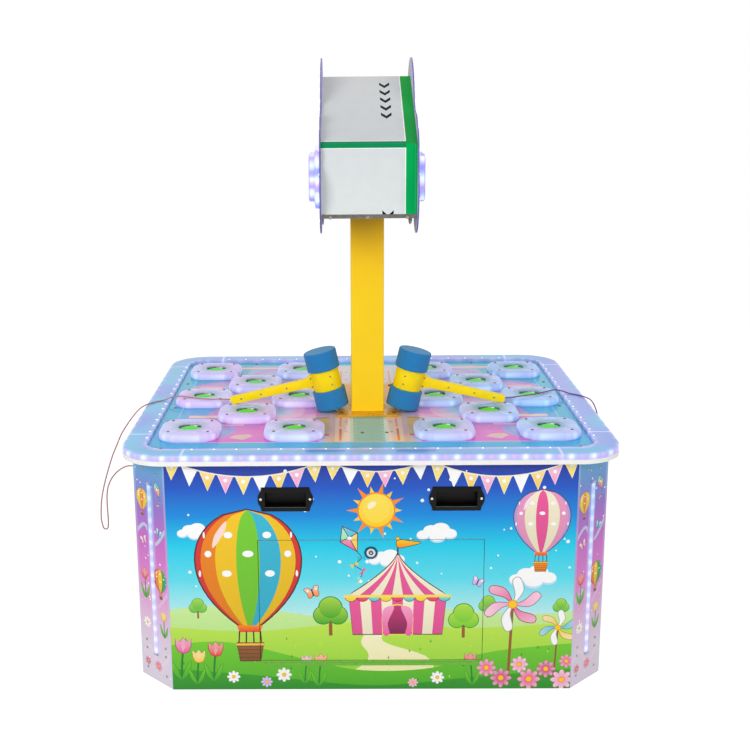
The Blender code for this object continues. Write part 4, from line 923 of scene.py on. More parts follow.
# The players' sides and the back, which the photograph doesn't show
for side_name, side in SIDES.items():
    art = Picture()
    meadow(art, SIDE_HALF, 11 + side)
    bunting(art, (-0.48, 0.696), (0.0, 0.69), 0.048, 10, 0.048)
    bunting(art, (0.0, 0.69), (0.48, 0.696), 0.048, 10, 0.048)
    hot_air_balloon(art, 0.285 * side, 0.43, 0.125, [SEA, MINT, CREAM, YELLOW, CREAM, MINT, SEA], ORANGE)
    hot_air_balloon(art, -0.335 * side, 0.52, 0.07, [ROSE, CREAM, ROSE, CREAM, ROSE])
    big_top(art, -0.115 * side, 0.172, 0.3, 0.235, VIOLET, CREAM)
    sun(art, 0.06 * side, 0.545, 0.045)
    kite(art, -0.075 * side, 0.505, 0.036, -0.4, [YELLOW, ROSE, SEA, MINT],
         [(0.3, -0.5), (-0.1, -1.0), (0.3, -1.6)])
    pinwheel(art, 0.13 * side, 0.235, 0.068, [ORANGE, WHITE, YELLOW], (0.132 * side, 0.02))
    tree(art, -0.375 * side, 0.16, 0.058)
    flower_bed(art, (-0.44, 0.11, 9, 0.012, 0.012, 0.074, 0.014, [RED, YELLOW, PINK, ROSE]),
               (-0.455, 0.082, 12, 0.048, 0.02, 0.017, 0.003, [WHITE, PINK, MAGENTA, LILAC]))
    art.holes = [ellipse(GLAND_Y[side_name] * side, GLAND_Z, GLAND_BORE, None, 24)]
    board(art, side_at((side * SIDE_X, 0, 0), side), PANEL, f"{side_name}_board", PANEL_LOOKS,
          stands_for=(f"{side_name}_panel",))

art = Picture()
meadow(art, FRONT_HALF, 21)
bunting(art, (-0.575, 0.698), (0.0, 0.69), 0.052, 12)
bunting(art, (0.0, 0.69), (0.575, 0.698), 0.052, 12)
hot_air_balloon(art, -0.405, 0.48, 0.092, PASTEL, ORANGE)
hot_air_balloon(art, 0.29, 0.43, 0.13, RAINBOW)
big_top(art, -0.1, 0.178, 0.29, 0.25, SEA, CREAM)
kite(art, 0.07, 0.52, 0.04, 0.4, KITE, [(0.3, -0.5), (-0.2, -1.0), (0.4, -1.5)])
pinwheel(art, 0.5, 0.24, 0.064, [ROSE, WHITE, YELLOW], (0.496, 0.02))
tree(art, 0.12, 0.165, 0.052)
flower_bed(art, (-0.53, 0.117, 10, 0.014, 0.01, 0.078, 0.012, [ROSE, YELLOW, RED, PINK]),
           (-0.55, 0.091, 13, 0.052, 0.018, 0.018, 0.003, [PINK, WHITE, LILAC, ROSE]))
art.holes = [rectangle(INLET_HALF_X, INLET_Z - INLET_HALF_Z, INLET_Z + INLET_HALF_Z, -INLET_X)]
board(art, BACK_PLACE, PANEL, "back_board", PANEL_LOOKS, stands_for=("back_panel",))


# Corner covers, their screws and their light bars

COVER_LEVELS = [0.0, 0.1, 0.2, 0.32, 0.44, 0.54, 0.62, CABINET_TOP]
COVER_TONES = [rgb(232, 220, 236), rgb(232, 220, 236), rgb(234, 192, 226), rgb(230, 132, 208),
               rgb(204, 108, 204), rgb(152, 114, 206), rgb(108, 152, 214), rgb(84, 176, 216)]
COVER_BANDS = list(zip(COVER_LEVELS, COVER_LEVELS[1:], COVER_TONES, COVER_TONES[1:]))
COVER_MARGIN = 0.009
# Shares of the cover's half width, and heights
COVER_SCREWS = [(-0.4, 0.65), (0.44, 0.642), (-0.62, 0.118), (0.62, 0.118), (-0.62, 0.092), (0.62, 0.092),
                (-0.62, 0.03), (0.62, 0.03)]
TUBE_LOW, TUBE_HIGH, TUBE_LIGHT = 0.085, 0.61, rgb(206, 220, 255)
TUBE_HALF, TUBE_EDGE, TUBE_RISE, TUBE_ROWS = 0.007, 0.0012, 0.0038, 264
# The tube's size at its first and second row from either end
TUBE_ENDS = (0.93, 0.985)
LED_PITCH = 0.0333


def tube_share(spot):
    return (spot.z - TUBE_LOW) / (TUBE_HIGH - TUBE_LOW)


def tube_paint(spot):
    return mixed(rgb(226, 216, 252), rgb(178, 204, 250), tube_share(spot))


def tube_glow(spot):
    """A lamp at every pitch, the strongest low down."""
    share = tube_share(spot)
    lamp = bell(((spot.z - TUBE_LOW) / LED_PITCH) % 1.0 - 0.5, 0.26)
    base = mixed(rgb(190, 186, 255), rgb(130, 180, 255), share)
    return dimmed(mixed(base, WHITE, 0.6 * lamp), 0.2 + (0.3 - 0.12 * share) * lamp)


def cover_picture(half, seed):
    art = Picture()
    art.bands(half, COVER_LEVELS, COVER_TONES)
    specks(art, seed, half * 0.9, 0.02, 0.66, 26, (0.0014, 0.0036))
    for k in range(3):
        swirl = [(half * a, b + 0.19 * k) for a, b in ((-1.1, 0.06), (-0.4, 0.1), (0.2, 0.05), (1.1, 0.12))]
        art.paint(ribbon(swirl, 0.01, 6), mixed(COVER_TONES[2 * k + 2], WHITE, 0.45))
    # A paler margin down either edge
    for sign in (-1, 1):
        for low, high, below, above in COVER_BANDS:
            art.paint(box(sign * half, sign * (half - COVER_MARGIN), low, high)[::sign],
                      mixed(below, TUBE_LIGHT, 0.3), mixed(above, TUBE_LIGHT, 0.3))
    # The tube's light on the cover
    for spread, share in ((0.0175, 0.16), (0.0145, 0.32), (0.0115, 0.5)):
        for low, high, below, above in COVER_BANDS[1:5]:
            art.paint(rectangle(spread, max(low, TUBE_LOW), high), mixed(below, TUBE_LIGHT, share),
                      mixed(above, TUBE_LIGHT, share))
        low, _, below, above = COVER_BANDS[5]
        art.paint(ellipse(0.0, low, spread, TUBE_HIGH - low - 0.01 + spread), mixed(below, TUBE_LIGHT, share),
                  mixed(above, TUBE_LIGHT, share))
    hot_air_balloon(art, -half * 0.52, 0.56, 0.026, [YELLOW, BUTTER, ORANGE, BUTTER, YELLOW])
    hot_air_balloon(art, half * 0.46, 0.33, 0.03, [RED, ORANGE, YELLOW, LEAF, SEA])
    butterfly(art, -half * 0.52, 0.43, 0.015, PINK, 0.4)
    butterfly(art, half * 0.5, 0.47, 0.013, SEA, -0.3)
    kite(art, half * 0.5, 0.6, 0.022, 0.3, KITE, [(0.3, -0.6), (-0.2, -1.1)])
    tulip(art, -half * 0.55, 0.25, 0.075, RED)
    tulip(art, half * 0.58, 0.15, 0.066, YELLOW)
    daisy(art, -half * 0.52, 0.175, 0.017, WHITE)
    daisy(art, half * 0.1, 0.05, 0.016, ROSE)
    daisy(art, -half * 0.6, 0.05, 0.013, MAGENTA)
    return art


for depth_name, sign_y in (("front", -1), ("back", 1)):
    for side_name, sign_x in SIDES.items():
        name = f"{depth_name}_{side_name}"
        ends = (Vector((sign_x * (FRONT_HALF + GAP), sign_y * (FRONT_Y - GAP), 0.0)),
                Vector((sign_x * (SIDE_X - GAP), sign_y * (SIDE_HALF + GAP), 0.0)))
        half = (ends[0] - ends[1]).length / 2
        outward = Vector((sign_x, sign_y, 0.0)).normalized()
        along = Vector((-outward.y, outward.x, 0.0))
        ways = (along, (0, 0, 1), outward)
        place = axes_at((ends[0] + ends[1]) / 2, *ways)
        art = cover_picture(half, 31 + sign_x + 3 * sign_y)
        board(art, place, PANEL, f"corner_board_{name}", PANEL_LOOKS,
              stands_for=(f"corner_cover_{name}",))

        build = bmesh.new()
        for a, b in COVER_SCREWS:
            screw(build, axes_at(place(a * half, b), *ways), *HEADS["cover"], turn=a + b)
        piece(f"corner_screws_{name}", build, [screw_steel])

        # A frosted tube with lamps behind it
        build = bmesh.new()
        rings = []
        for row in range(TUBE_ROWS + 1):
            level = TUBE_LOW + (TUBE_HIGH - TUBE_LOW) * row / TUBE_ROWS
            size = [*TUBE_ENDS, 1.0][min(row, TUBE_ROWS - row, 2)]
            rise = TUBE_EDGE + TUBE_RISE * size
            rings.append([place(TUBE_HALF * size * math.cos(t), level, GAP + rise * math.sin(t) ** 0.8)
                          for t in arc(0.0, 10)])
        loft(build, rings)
        set_colours(build, tube_paint)
        set_colours(build, tube_glow, "glow")
        piece(f"corner_tube_{name}", build, [tube_look], stands_for=(f"corner_light_{name}",))
        build = bmesh.new()
        for level in (TUBE_LOW + 0.0015, TUBE_HIGH - 0.0015):
            slab(build, rounded(0.0085, 0.0035, 0.003, 4, (0.0, level)),
                 [(0.0, GAP), (0.0, 0.0046), (0.001, 0.0054)], place)
        piece(f"corner_tube_ends_{name}", build, [tube_cap])


# Table top

POD_MIDDLE = (POD_INNER + POD_OUTER) / 2
MOLE_BORE = 0.037
FIELD_MARGIN, FIELD_LINE, FIELD_INSET, FIELD_FRONT = 0.046, 0.003, 0.007, -0.449
FIELD_BACK = INNER_Y - FIELD_MARGIN - FIELD_INSET


def pod_places(side):
    """The middles of one player's pods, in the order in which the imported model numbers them."""
    places = []
    for row in (-2, -1, 0, 1, 2):
        for x in ((POD_MIDDLE,) if row % 2 else (POD_INNER, POD_OUTER)):
            places.append((side * x, row * POD_ROW))
    return places


all_pods = [spot for side in SIDES.values() for spot in pod_places(side)]
bores = [ellipse(x, y, MOLE_BORE, None, 24) for x, y in all_pods]

art = Picture()
art.base(rounded(TABLE_X, TABLE_Y, TABLE_CORNER, 16)(), WHITE)
art.holes = bores
board(art, axes_at((0, 0, BOARD_TOP)), BOARD_TOP - BOARD_LOW, "edge_board", [white_board, white_board],
      stands_for=("table_board",))

# The printed field under its clear sheet
TEAL_EDGE, TEAL_LINE, PEACH = rgb(70, 198, 222), rgb(120, 204, 222), rgb(222, 180, 168)
FIELD_PINK, FIELD_ROSE, FIELD_BLUE = rgb(226, 118, 186), rgb(226, 90, 204), rgb(80, 172, 236)
RUST, SAND, MAUVE = rgb(214, 110, 62), rgb(206, 190, 150), rgb(196, 190, 214)
ROUNDS = [(0.3, -0.12, 0.135, 0.0), (0.47, 0.14, 0.12, 0.25), (0.29, 0.33, 0.11, 0.4),
          (0.5, -0.33, 0.105, 0.6)]
ROUND_RINGS = [rgb(226, 150, 206), rgb(236, 178, 210), rgb(206, 196, 232), rgb(170, 208, 236)]
BARS = [(0.415, -0.275, 0.042, 0.01), (0.5, -0.182, 0.05, 0.013), (0.452, 0.0, 0.026, 0.016),
        (0.52, 0.182, 0.04, 0.015), (0.37, 0.452, 0.085, 0.012), (0.372, 0.075, 0.05, 0.01)]
SHARD = [(-1.2, -0.3), (0.2, -1.0), (1.1, 0.1), (0.7, 0.8), (-0.6, 0.6)]
FIELD_SIDE, FIELD_SIDE_HALF, FIELD_OUTER = 0.362, 0.218, 0.58


def mirrored(side, *points):
    return [(side * x, y) for x, y in points]


art = Picture()
art.base(rounded(INNER_X - GAP, INNER_Y - GAP, INNER_CORNER - GAP, 12)(), rgb(30, 176, 226), TEAL_EDGE)
back_y = INNER_Y - FIELD_MARGIN
field_y, field_half = (back_y + FIELD_FRONT - FIELD_INSET) / 2, (back_y - FIELD_FRONT + FIELD_INSET) / 2
art.paint(rounded(INNER_X - FIELD_MARGIN, field_half, 0.034, 8, (0.0, field_y))(), TEAL_LINE)
art.paint(rounded(INNER_X - FIELD_MARGIN - FIELD_LINE, field_half - FIELD_LINE, 0.031, 8, (0.0, field_y))(),
          rgb(222, 178, 206), rgb(126, 196, 214))
for side in SIDES.values():
    middle, outer = side * FIELD_SIDE, side * FIELD_OUTER
    art.paint(rectangle(FIELD_SIDE_HALF, FIELD_FRONT, FIELD_BACK, middle), FIELD_PINK, rgb(150, 190, 226))
    art.paint([(outer, FIELD_FRONT), (outer, FIELD_BACK), (side * 0.4, FIELD_BACK), (side * 0.455, -0.02)],
              FIELD_BLUE, rgb(70, 186, 206))
    art.paint([(middle - side * 0.215, FIELD_FRONT), (middle + side * 0.16, FIELD_FRONT),
               (middle - side * 0.1, -0.24), (middle - side * 0.215, -0.14)], FIELD_ROSE, rgb(244, 156, 196))
    for x, y, size, share in ROUNDS:
        for ring, colour in enumerate(ROUND_RINGS):
            spot = ellipse(side * x, y, size * (1 - 0.22 * ring), None, 40)
            art.paint(spot, mixed(colour, FIELD_BLUE, share))
    for k, (x, y, wide, high) in enumerate(BARS):
        bar = rectangle(wide, y - high, y + high, side * x)
        art.paint(grown(bar, 0.004), (RED, FIELD_ROSE, SAND)[k % 3])
        art.paint(bar, mixed((FIELD_PINK, PEACH, FIELD_BLUE)[k % 3], WHITE, 0.35))
    for k, (x, y, size) in enumerate(((0.372, -0.395, 0.03), (0.405, -0.02, 0.022), (0.31, 0.19, 0.026))):
        art.paint(moved(SHARD, side * x, y, size, 0.4 * k), rgb(226, 190, 176))
    front_patch = mirrored(side, (0.118, -0.44), (0.205, -0.385), (0.245, -0.29), (0.205, -0.215),
                           (0.118, -0.19))
    art.paint(smooth_outline(front_patch, 8), MAUVE)
    art.paint(ellipse(side * 0.128, -0.292, 0.104, 0.098, 40), rgb(226, 96, 84), rgb(214, 150, 60))
    art.paint(ellipse(side * 0.12, -0.29, 0.088, 0.084, 40), SAND, rgb(228, 186, 84))
    back_patch = mirrored(side, (0.118, 0.43), (0.215, 0.36), (0.2, 0.255), (0.118, 0.215))
    art.paint(smooth_outline(back_patch, 8), rgb(214, 206, 226))
    art.paint(ellipse(side * 0.128, 0.17, 0.085, None, 36), rgb(222, 170, 190), rgb(196, 200, 230))
for half, one, two in (
    (0.118, PEACH, rgb(206, 206, 220)), (0.1, rgb(246, 206, 176), rgb(218, 206, 214)),
    (0.056, rgb(196, 214, 190), None), (0.046, rgb(120, 190, 190), rgb(140, 196, 206)),
):
    art.paint(rectangle(half, FIELD_FRONT, FIELD_BACK), one, two)
for side in SIDES.values():
    art.paint(rectangle(0.0035, -0.44, -0.32, side * 0.084), ORANGE, RUST)
    art.paint(rectangle(0.003, -0.3, 0.4, side * 0.084), rgb(226, 160, 110))
    for k in range(27):
        level = -0.436 + 0.0337 * k
        art.paint(rectangle(0.01, level, level + 0.006, side * 0.046), rgb(170, 206, 196))
    for k in range(9):
        art.paint(ellipse(side * 0.066, -0.455 + 0.105 * k, 0.0055, None, 14), rgb(120, 190, 206))
art.holes = bores
board(art, axes_at((0, 0, FIELD_TOP)), FIELD_TOP - FIELD_LOW, "field_board", [field_print, field_edge],
      stands_for=("playfield_panel",))

build = bmesh.new()
field_screws = [(-0.59, -0.505), (0.59, -0.505), (-0.59, 0.505), (0.59, 0.505)]
field_screws += [(x, sign * 0.516) for sign in (-1, 1) for x in (-0.392, -0.196, 0.0, 0.196, 0.392)]
field_screws += [(sign * 0.607, y) for sign in (-1, 1) for y in (-0.364, -0.23, -0.077, 0.077, 0.23, 0.364)]
field_screws += [(x, y) for y in (-0.36, 0.335) for x in (-0.02, 0.052)]
for k, (x, y) in enumerate(field_screws):
    screw(build, axes_at((x, y, FIELD_TOP)), *HEADS["field"], turn=k)
piece("field_screws", build, [screw_brass])


# Lit border in eight lengths, each a band of printed acrylic with lamps behind it

SEAM_X, SEAM_BACK_Y, SEAM_FRONT_Y, SEAM_GAP = 0.52, 0.44, -0.4, 0.0005
LAMP_PITCH = 0.062
STATION_PITCH, CORNER_STEPS = 0.0052, 22
# Shares from the outer to the inner edge, with heights above the board
BORDER_PROFILE = [
    (0.0, 0.0), (0.0, 0.003), (0.0, 0.006), (0.0, 0.009), (0.008, 0.0122), (0.03, 0.0148), (0.062, 0.0162),
    (0.1, 0.0167), (0.22, 0.0167), (0.36, 0.0167), (0.5, 0.0167), (0.64, 0.0167), (0.76, 0.0167),
    (0.86, 0.0167), (0.93, 0.0167), (0.965, 0.016), (0.98, 0.014), (0.98, 0.007), (0.98, 0.0),
]
BORDER_BLUE, BORDER_LILAC, BORDER_CYAN = rgb(128, 166, 232), rgb(158, 170, 238), rgb(110, 200, 230)
# Shares of the band: its rounded rim, and the lines of its print
RIM, BLUE_LINE, DEEP_LINE, LILAC_LINE, INNER_LINE = 0.12, 0.3, 0.45, 0.7, 0.84
DEEP_X, DEEP_HALF = 0.125, 0.055
SEAM_TINT, SEAM_GLOW = rgb(206, 208, 250), 0.16
END_TINT, END_GLOW = rgb(214, 214, 250), rgb(120, 120, 200)


def border_stations():
    """Matched points on the outer and inner edge, from the front's left end round, and the seams."""
    stations, seams = [], []
    edges = (TABLE_X, TABLE_Y), (INNER_X, INNER_Y)
    corners = TABLE_CORNER, INNER_CORNER
    centres = [(x - corner, y - corner) for (x, y), corner in zip(edges, corners)]
    share_x = (SEAM_X + centres[0][0]) / (2 * centres[0][0])
    low, high = [(y + centres[0][1]) / (2 * centres[0][1]) for y in (SEAM_FRONT_Y, SEAM_BACK_Y)]
    cuts = [(1 - share_x, share_x), (low, high), (1 - share_x, share_x), (1 - high, 1 - low)]
    ways = [(0, -1), (1, 0), (0, 1), (-1, 0)]
    signs = [(-1, -1), (1, -1), (1, 1), (-1, 1), (-1, -1)]
    for k, way in enumerate(ways):
        # The straight stretch, outer and inner, from corner to corner
        ends = []
        for sign in signs[k:k + 2]:
            ends.append([tuple(w * e if w else s * c for w, e, s, c in zip(way, edge, sign, centre))
                         for edge, centre in zip(edges, centres)])
        marks = [0.0, *cuts[k], 1.0]
        for low, high in zip(marks, marks[1:]):
            if low:
                seams.append(len(stations))
            length = (Vector(ends[1][0]) - Vector(ends[0][0])).length * (high - low)
            steps = max(int(length / STATION_PITCH), 2)
            cut = [(mixed(a, b, low), mixed(a, b, high)) for a, b in zip(*ends)]
            stations += [tuple(mixed(a, b, step / steps) for a, b in cut) for step in range(steps)]
        # The corner after it
        for step in range(CORNER_STEPS):
            turn = way_of((k - 1) * math.pi / 2 + math.pi / 2 * step / CORNER_STEPS)
            stations.append(tuple(
                tuple(s * c + corner * t for s, c, t in zip(signs[k + 1], centre, turn))
                for centre, corner in zip(centres, corners)
            ))
    return stations, seams


def border_paint(spot, along, share):
    """The print: lilac and blue that drift along the band, with cyan patches, most at the left."""
    wave = 0.5 + 0.5 * math.sin(along * 6.0 + 2.0 * math.sin(along * 2.3) + share * 2.0)
    patch = math.sin(along * 11.0 + 1.7 * math.sin(along * 4.3)) * math.cos(share * 2.0 + along * 2.0)
    tone = mixed(BORDER_LILAC, BORDER_BLUE, wave)
    tone = mixed(tone, BORDER_CYAN, clamped(patch * 1.1 + 0.45 - 0.45 * spot.x) * 0.8)
    if share > INNER_LINE:
        tone = mixed(tone, rgb(186, 190, 242), min((share - INNER_LINE) / 0.08, 1.0) * 0.8)
    if spot.y < -INNER_Y and share > LILAC_LINE:
        tone = mixed(tone, rgb(190, 190, 246), 0.8)
    elif spot.y < -INNER_Y and share > BLUE_LINE:
        # A sea blue line along the players' front, with two deeper stretches
        deep = share > DEEP_LINE and abs(abs(spot.x) - DEEP_X) < DEEP_HALF
        tone = mixed(tone, rgb(24, 142, 206) if deep else rgb(104, 186, 224), 0.75)
    return mixed(rgb(184, 186, 246), tone, share / RIM) if share < RIM else tone


def border_glow(along, share, height):
    """White lamps on the rim with rose between them, and their faint light along the inner edge."""
    lamp = along / LAMP_PITCH
    near = abs(lamp - round(lamp)) * LAMP_PITCH
    between = abs(lamp - math.floor(lamp) - 0.5) * LAMP_PITCH
    if share < RIM:
        fade = 1.0 - 0.8 * share / RIM
        level = bell(height - 0.0095, 0.0075)
        white = 0.58 * fade * level * bell(near, 0.0072) + 0.14 * fade * bell(near, 0.018)
        rose = 0.34 * fade * level * bell(between, 0.0052)
        return tuple(0.12 * fade * b + white * w + rose * r
                     for b, w, r in zip(rgb(150, 140, 255), (0.85, 0.95, 1.0), rgb(255, 120, 190)))
    white = 0.14 * bell(near, 0.013) * bell(share - 0.93, 0.07)
    return tuple(0.07 * b + white for b in rgb(140, 150, 255))


stations, seams = border_stations()
count = len(stations)
travelled = [0.0]
for (start, _), (end, _) in zip(stations, stations[1:]):
    travelled.append(travelled[-1] + (Vector(end) - Vector(start)).length)
for number, (first, last) in enumerate(zip(seams, [*seams[1:], seams[0] + count]), start=1):
    build = bmesh.new()
    paint = build.loops.layers.float_color.new("paint")
    glow = build.loops.layers.float_color.new("glow")
    rows = []
    for k in range(first, last + 1):
        outer, inner = (Vector(point) for point in stations[k % count])
        lit = 1.0 if k in (first, last) else 0.0
        if lit:
            near = stations[(k + (1 if k == first else -1)) % count][0]
            shift = (Vector(near) - outer).normalized() * SEAM_GAP
        row = []
        for share, height in BORDER_PROFILE:
            spot = outer.lerp(inner, share)
            if lit:
                spot += shift
            vert = build.verts.new((spot.x, spot.y, BORDER_LOW + height))
            row.append((vert, travelled[k % count], share, height, lit))
        rows.append(row)
    for row, after in zip(rows, rows[1:]):
        for j in range(len(row)):
            n = (j + 1) % len(row)
            corners = [row[j], after[j], after[n], row[n]]
            face = build.faces.new([corner[0] for corner in corners])
            for loop, (vert, along, share, height, lit) in zip(face.loops, corners):
                tone = border_paint(vert.co, along, share)
                loop[paint] = (*mixed(tone, SEAM_TINT, 0.8 * lit), 1.0)
                loop[glow] = (*(c + SEAM_GLOW * lit for c in border_glow(along, share, height)), 1.0)
    for row in (rows[0][::-1], rows[-1]):
        face = build.faces.new([corner[0] for corner in row])
        for loop in face.loops:
            loop[paint] = (*END_TINT, 1.0)
            loop[glow] = (*END_GLOW, 1.0)
    piece(f"border_length_{number}", build, [border_look],
          stands_for=("border_frame",) if number == 1 else ())

# Lamps that show as dots along the inner edge
build = bmesh.new()
dots = []
for sign in (-1, 1):
    dots += [(x * LAMP_PITCH, sign * (INNER_Y + 0.0115), 0.003) for x in range(-8, 9)]
    dots += [(sign * (INNER_X + 0.01), LAMP_PITCH * y, 0.0031) for y in range(-7, 8)]
for x, y, radius in dots:
    slab(build, disc(radius, 12, (x, y)),
         [(0.0, BORDER_TOP), (0.0, BORDER_TOP + 0.0004), (radius * 0.4, BORDER_TOP + 0.0009)])
piece("border_lamps", build, [led_white])


# Frosted pods with their screws

POD_STEPS, POD_SCREW, POD_DISC = 12, 0.057, 0.0232
POD_RINGS = [(0.0012, 0.0), (0.0, 0.0018), (0.0, 0.006), (0.0, 0.01), (0.0002, 0.0135), (0.001, 0.0168),
             (0.0028, 0.0196), (0.0056, 0.0216), (0.0092, 0.0228), (0.014, 0.0236)]
POD_MOUTH = [(0.062, 0.0236), (0.053, 0.0236), (0.044, 0.0236), (0.0374, 0.0236), (0.0367, 0.0234),
             (POD_HOLE, 0.0226), (POD_HOLE, 0.013), (POD_HOLE, 0.0)]
# Within this radius of the middle, a point belongs to the hole's wall
POD_WALL = 0.0365


def pod_tint(x, y):
    """How blue, rather than pink, the lamps under a pod look."""
    return clamped(0.42 + 0.5 * x / 0.53 + 0.12 * y / 0.36)


for number, (pod_x, pod_y) in enumerate(all_pods, start=1):
    tint = pod_tint(pod_x, pod_y)
    disc_colour = mixed(rgb(170, 195, 210), rgb(122, 176, 194), tint)
    pink_colour, blue_colour = rgb(204, 184, 240), mixed(rgb(190, 202, 246), rgb(150, 188, 236), tint)
    lamp_colour = mixed(rgb(222, 182, 240), rgb(120, 196, 255), tint)
    outline = rounded(POD_HALF, POD_HALF, POD_CORNER, POD_STEPS, (pod_x, pod_y))
    rings = [[upright(a, b, POD_LOW + height) for a, b in outline(inset)] for inset, height in POD_RINGS]
    angles = [math.atan2(spot.y - pod_y, spot.x - pod_x) for spot in rings[0]]

    def mouth(a, b, height):
        return upright(pod_x + a, pod_y + b, POD_LOW + height)

    rings += turned_rings(mouth, POD_MOUTH, angles)
    build = bmesh.new()
    loft(build, rings, closed=True)

    def measured(spot):
        """The height in the pod, and the distance and angle from its middle."""
        a, b = spot.x - pod_x, spot.y - pod_y
        return spot.z - POD_LOW, math.hypot(a, b), math.atan2(b, a)

    def pod_paint(spot):
        height, far, angle = measured(spot)
        # The hole's wall is painted dark, as painted shade inside the hole.
        if far < POD_WALL and height < 0.0225:
            return rgb(96, 92, 128)
        pinkness = clamped(0.62 - 0.75 * tint + 0.45 * math.cos(angle - 2.2 + number))
        ring_colour = mixed(blue_colour, pink_colour, pinkness)
        if height > POD_DISC:
            return mixed(disc_colour, ring_colour, clamped((far - 0.043) / 0.012))
        return ring_colour

    def pod_glow(spot):
        height, far, angle = measured(spot)
        if far < POD_WALL:
            return (0.0, 0.0, 0.0)
        lamps, rose = ((0.5 + 0.5 * math.cos(angle * 12 + offset + number)) ** 3 for offset in (0.6, 3.4))
        if height > POD_DISC:
            rim = clamped((far - 0.048) / 0.02)
            return tuple(rim * (0.09 * c + 0.1 * lamps) for c in lamp_colour)
        level = bell(height - 0.0115, 0.0095)
        return tuple((0.07 + 0.07 * level) * c + level * (0.32 * lamps * w + 0.14 * rose * r)
                     for c, w, r in zip(lamp_colour, (0.78, 1.0, 1.0), (1.0, 0.62, 0.95)))

    set_colours(build, pod_paint)
    set_colours(build, pod_glow, "glow")
    player = "left" if number <= 8 else "right"
    name = f"{player}_{(number - 1) % 8 + 1}"
    piece(f"pod_{name}", build, [pod_look],
          stands_for=(f"pod_deck_{player}",) if number in (1, 9) else (), smooth=50.0)
    build = bmesh.new()
    for sign_x in (-1, 1):
        for sign_y in (-1, 1):
            spot = (pod_x + sign_x * POD_SCREW, pod_y + sign_y * POD_SCREW, POD_TOP)
            screw(build, axes_at(spot), *HEADS["pod"], turn=number + sign_x + 2 * sign_y)
    piece(f"pod_screws_{name}", build, [screw_brass])


# Moles: a green dome on a skirt and rod, with a few raised marks towards the back

MOLE_PROFILE = [(0.006, -0.06), (0.006, -0.0003), (0.033, 0.0), (MOLE_RADIUS, 0.0012), (MOLE_RADIUS, 0.0665),
                (0.0337, 0.069), (0.0327, 0.0713), (0.0309, 0.0733), (0.0282, 0.0749), (0.0243, 0.0761),
                (0.019, 0.077), (0.0128, 0.0776), (0.0064, 0.0779), (0.0012, 0.078)]
# Place, half width, half height and finish
MOLE_MARKS = [(-0.0195, 0.013, 0.008, 0.0058, 0), (-0.008, 0.02, 0.007, 0.0052, 0),
              (0.004, 0.0215, 0.0044, 0.0036, 2), (0.0135, 0.018, 0.007, 0.005, 1),
              (0.0215, 0.011, 0.005, 0.004, 0)]
# Shares of a mark's size, with heights above the dome
MARK_PROFILE = ((1.0, -0.003), (1.0, 0.0006), (0.86, 0.0018), (0.55, 0.0026), (0.15, 0.0029))
MARK_SINK = 0.001
# The dome's top, and how far it falls at a given distance from its middle
DOME_TOP, DOME_FALL, DOME_REACH = 0.078, 0.0031, 0.0282
for side_name, side in SIDES.items():
    for number, (x, y) in enumerate(pod_places(side), start=1):
        name = f"mole_{side_name}_{number}"
        place = axes_at((x, y, MOLE_LOW))
        turns = circle(40)
        build = bmesh.new()
        for face in loft(build, turned_rings(place, MOLE_PROFILE, turns)):
            if face.calc_center_median().z < MOLE_LOW - 0.0005:
                face.material_index = 1
        piece(f"{name}_dome", build, [mole_green_painted_glow, rod_steel], name, stands_for=(name,))
        build = bmesh.new()
        for a, b, wide, high, finish in MOLE_MARKS:
            level = DOME_TOP - DOME_FALL * (math.hypot(a, b) / DOME_REACH) ** 3
            rings = []
            for share, rise in MARK_PROFILE:
                rings.append([place(a + wide * share * math.cos(t), b + high * share * math.sin(t),
                                    level + rise - MARK_SINK) for t in turns[::2]])
            loft(build, rings, finish)
        piece(f"{name}_marks", build, [mole_dark, mole_white, mole_orange], name)


# Hammers

HAMMER_REACH, HAMMER_TILT = 0.2945, math.radians(12.9464)
HUB_RADIUS, HUB_HALF, FOAM_RADIUS, FOAM_LENGTH = 0.044, 0.032, 0.051, 0.06
BUTT_HALF, NECK_HALF, FLARE_HALF, FLARE_LENGTH, HANDLE_HALF = 0.0115, 0.014, 0.024, 0.022, 0.012
NECK_X = HAMMER_REACH - HUB_RADIUS - FLARE_LENGTH
PIVOT_X, PIVOT_Y, PIVOT_Z = 0.1286 + HAMMER_REACH * math.cos(HAMMER_TILT), -0.112, POD_TOP + GAP + BUTT_HALF
BUTT_CORNER, SHELL_SEAM, SHELL_EDGE, HUB_RIM, HUB_STEPS = 0.0032, 0.0002, 0.0022, 0.002, 26
# The share of an edge's radius that is left halfway round it
HALFWAY = 0.29
# Insets and levels of half a handle, and of the hub
SHELL_LEVELS = [(0.0004, SHELL_SEAM), (0.0, SHELL_SEAM + 0.0004), (0.0, HANDLE_HALF - SHELL_EDGE),
                (SHELL_EDGE * HALFWAY, HANDLE_HALF - SHELL_EDGE * HALFWAY), (SHELL_EDGE, HANDLE_HALF)]
HUB_LEVELS = [(HUB_RIM, -HUB_HALF), (HUB_RIM * HALFWAY, -HUB_HALF + HUB_RIM * HALFWAY),
              (0.0, -HUB_HALF + HUB_RIM), (0.0, HUB_HALF - HUB_RIM),
              (HUB_RIM * HALFWAY, HUB_HALF - HUB_RIM * HALFWAY), (HUB_RIM, HUB_HALF)]
# Distances from the butt and heights; those past the hub's edge sit on its round side
HAMMER_SCREWS = [(0.0225, 0.0), (0.086, 0.0005), (0.168, 0.0), (0.248, 0.0135), (0.248, -0.0135),
                 (0.311, 0.013), (0.311, -0.013)]
# Radii of a foam head, with heights above its near end
FOAM_NEAR = [(0.03, 0.0), (0.048, 0.0), (0.0498, 0.0006), (0.0508, 0.002), (FOAM_RADIUS, 0.0042)]
FOAM_FAR = [(0.0507, 0.0026), (0.0497, 0.001), (0.048, 0.0002), (0.046, 0.0)]


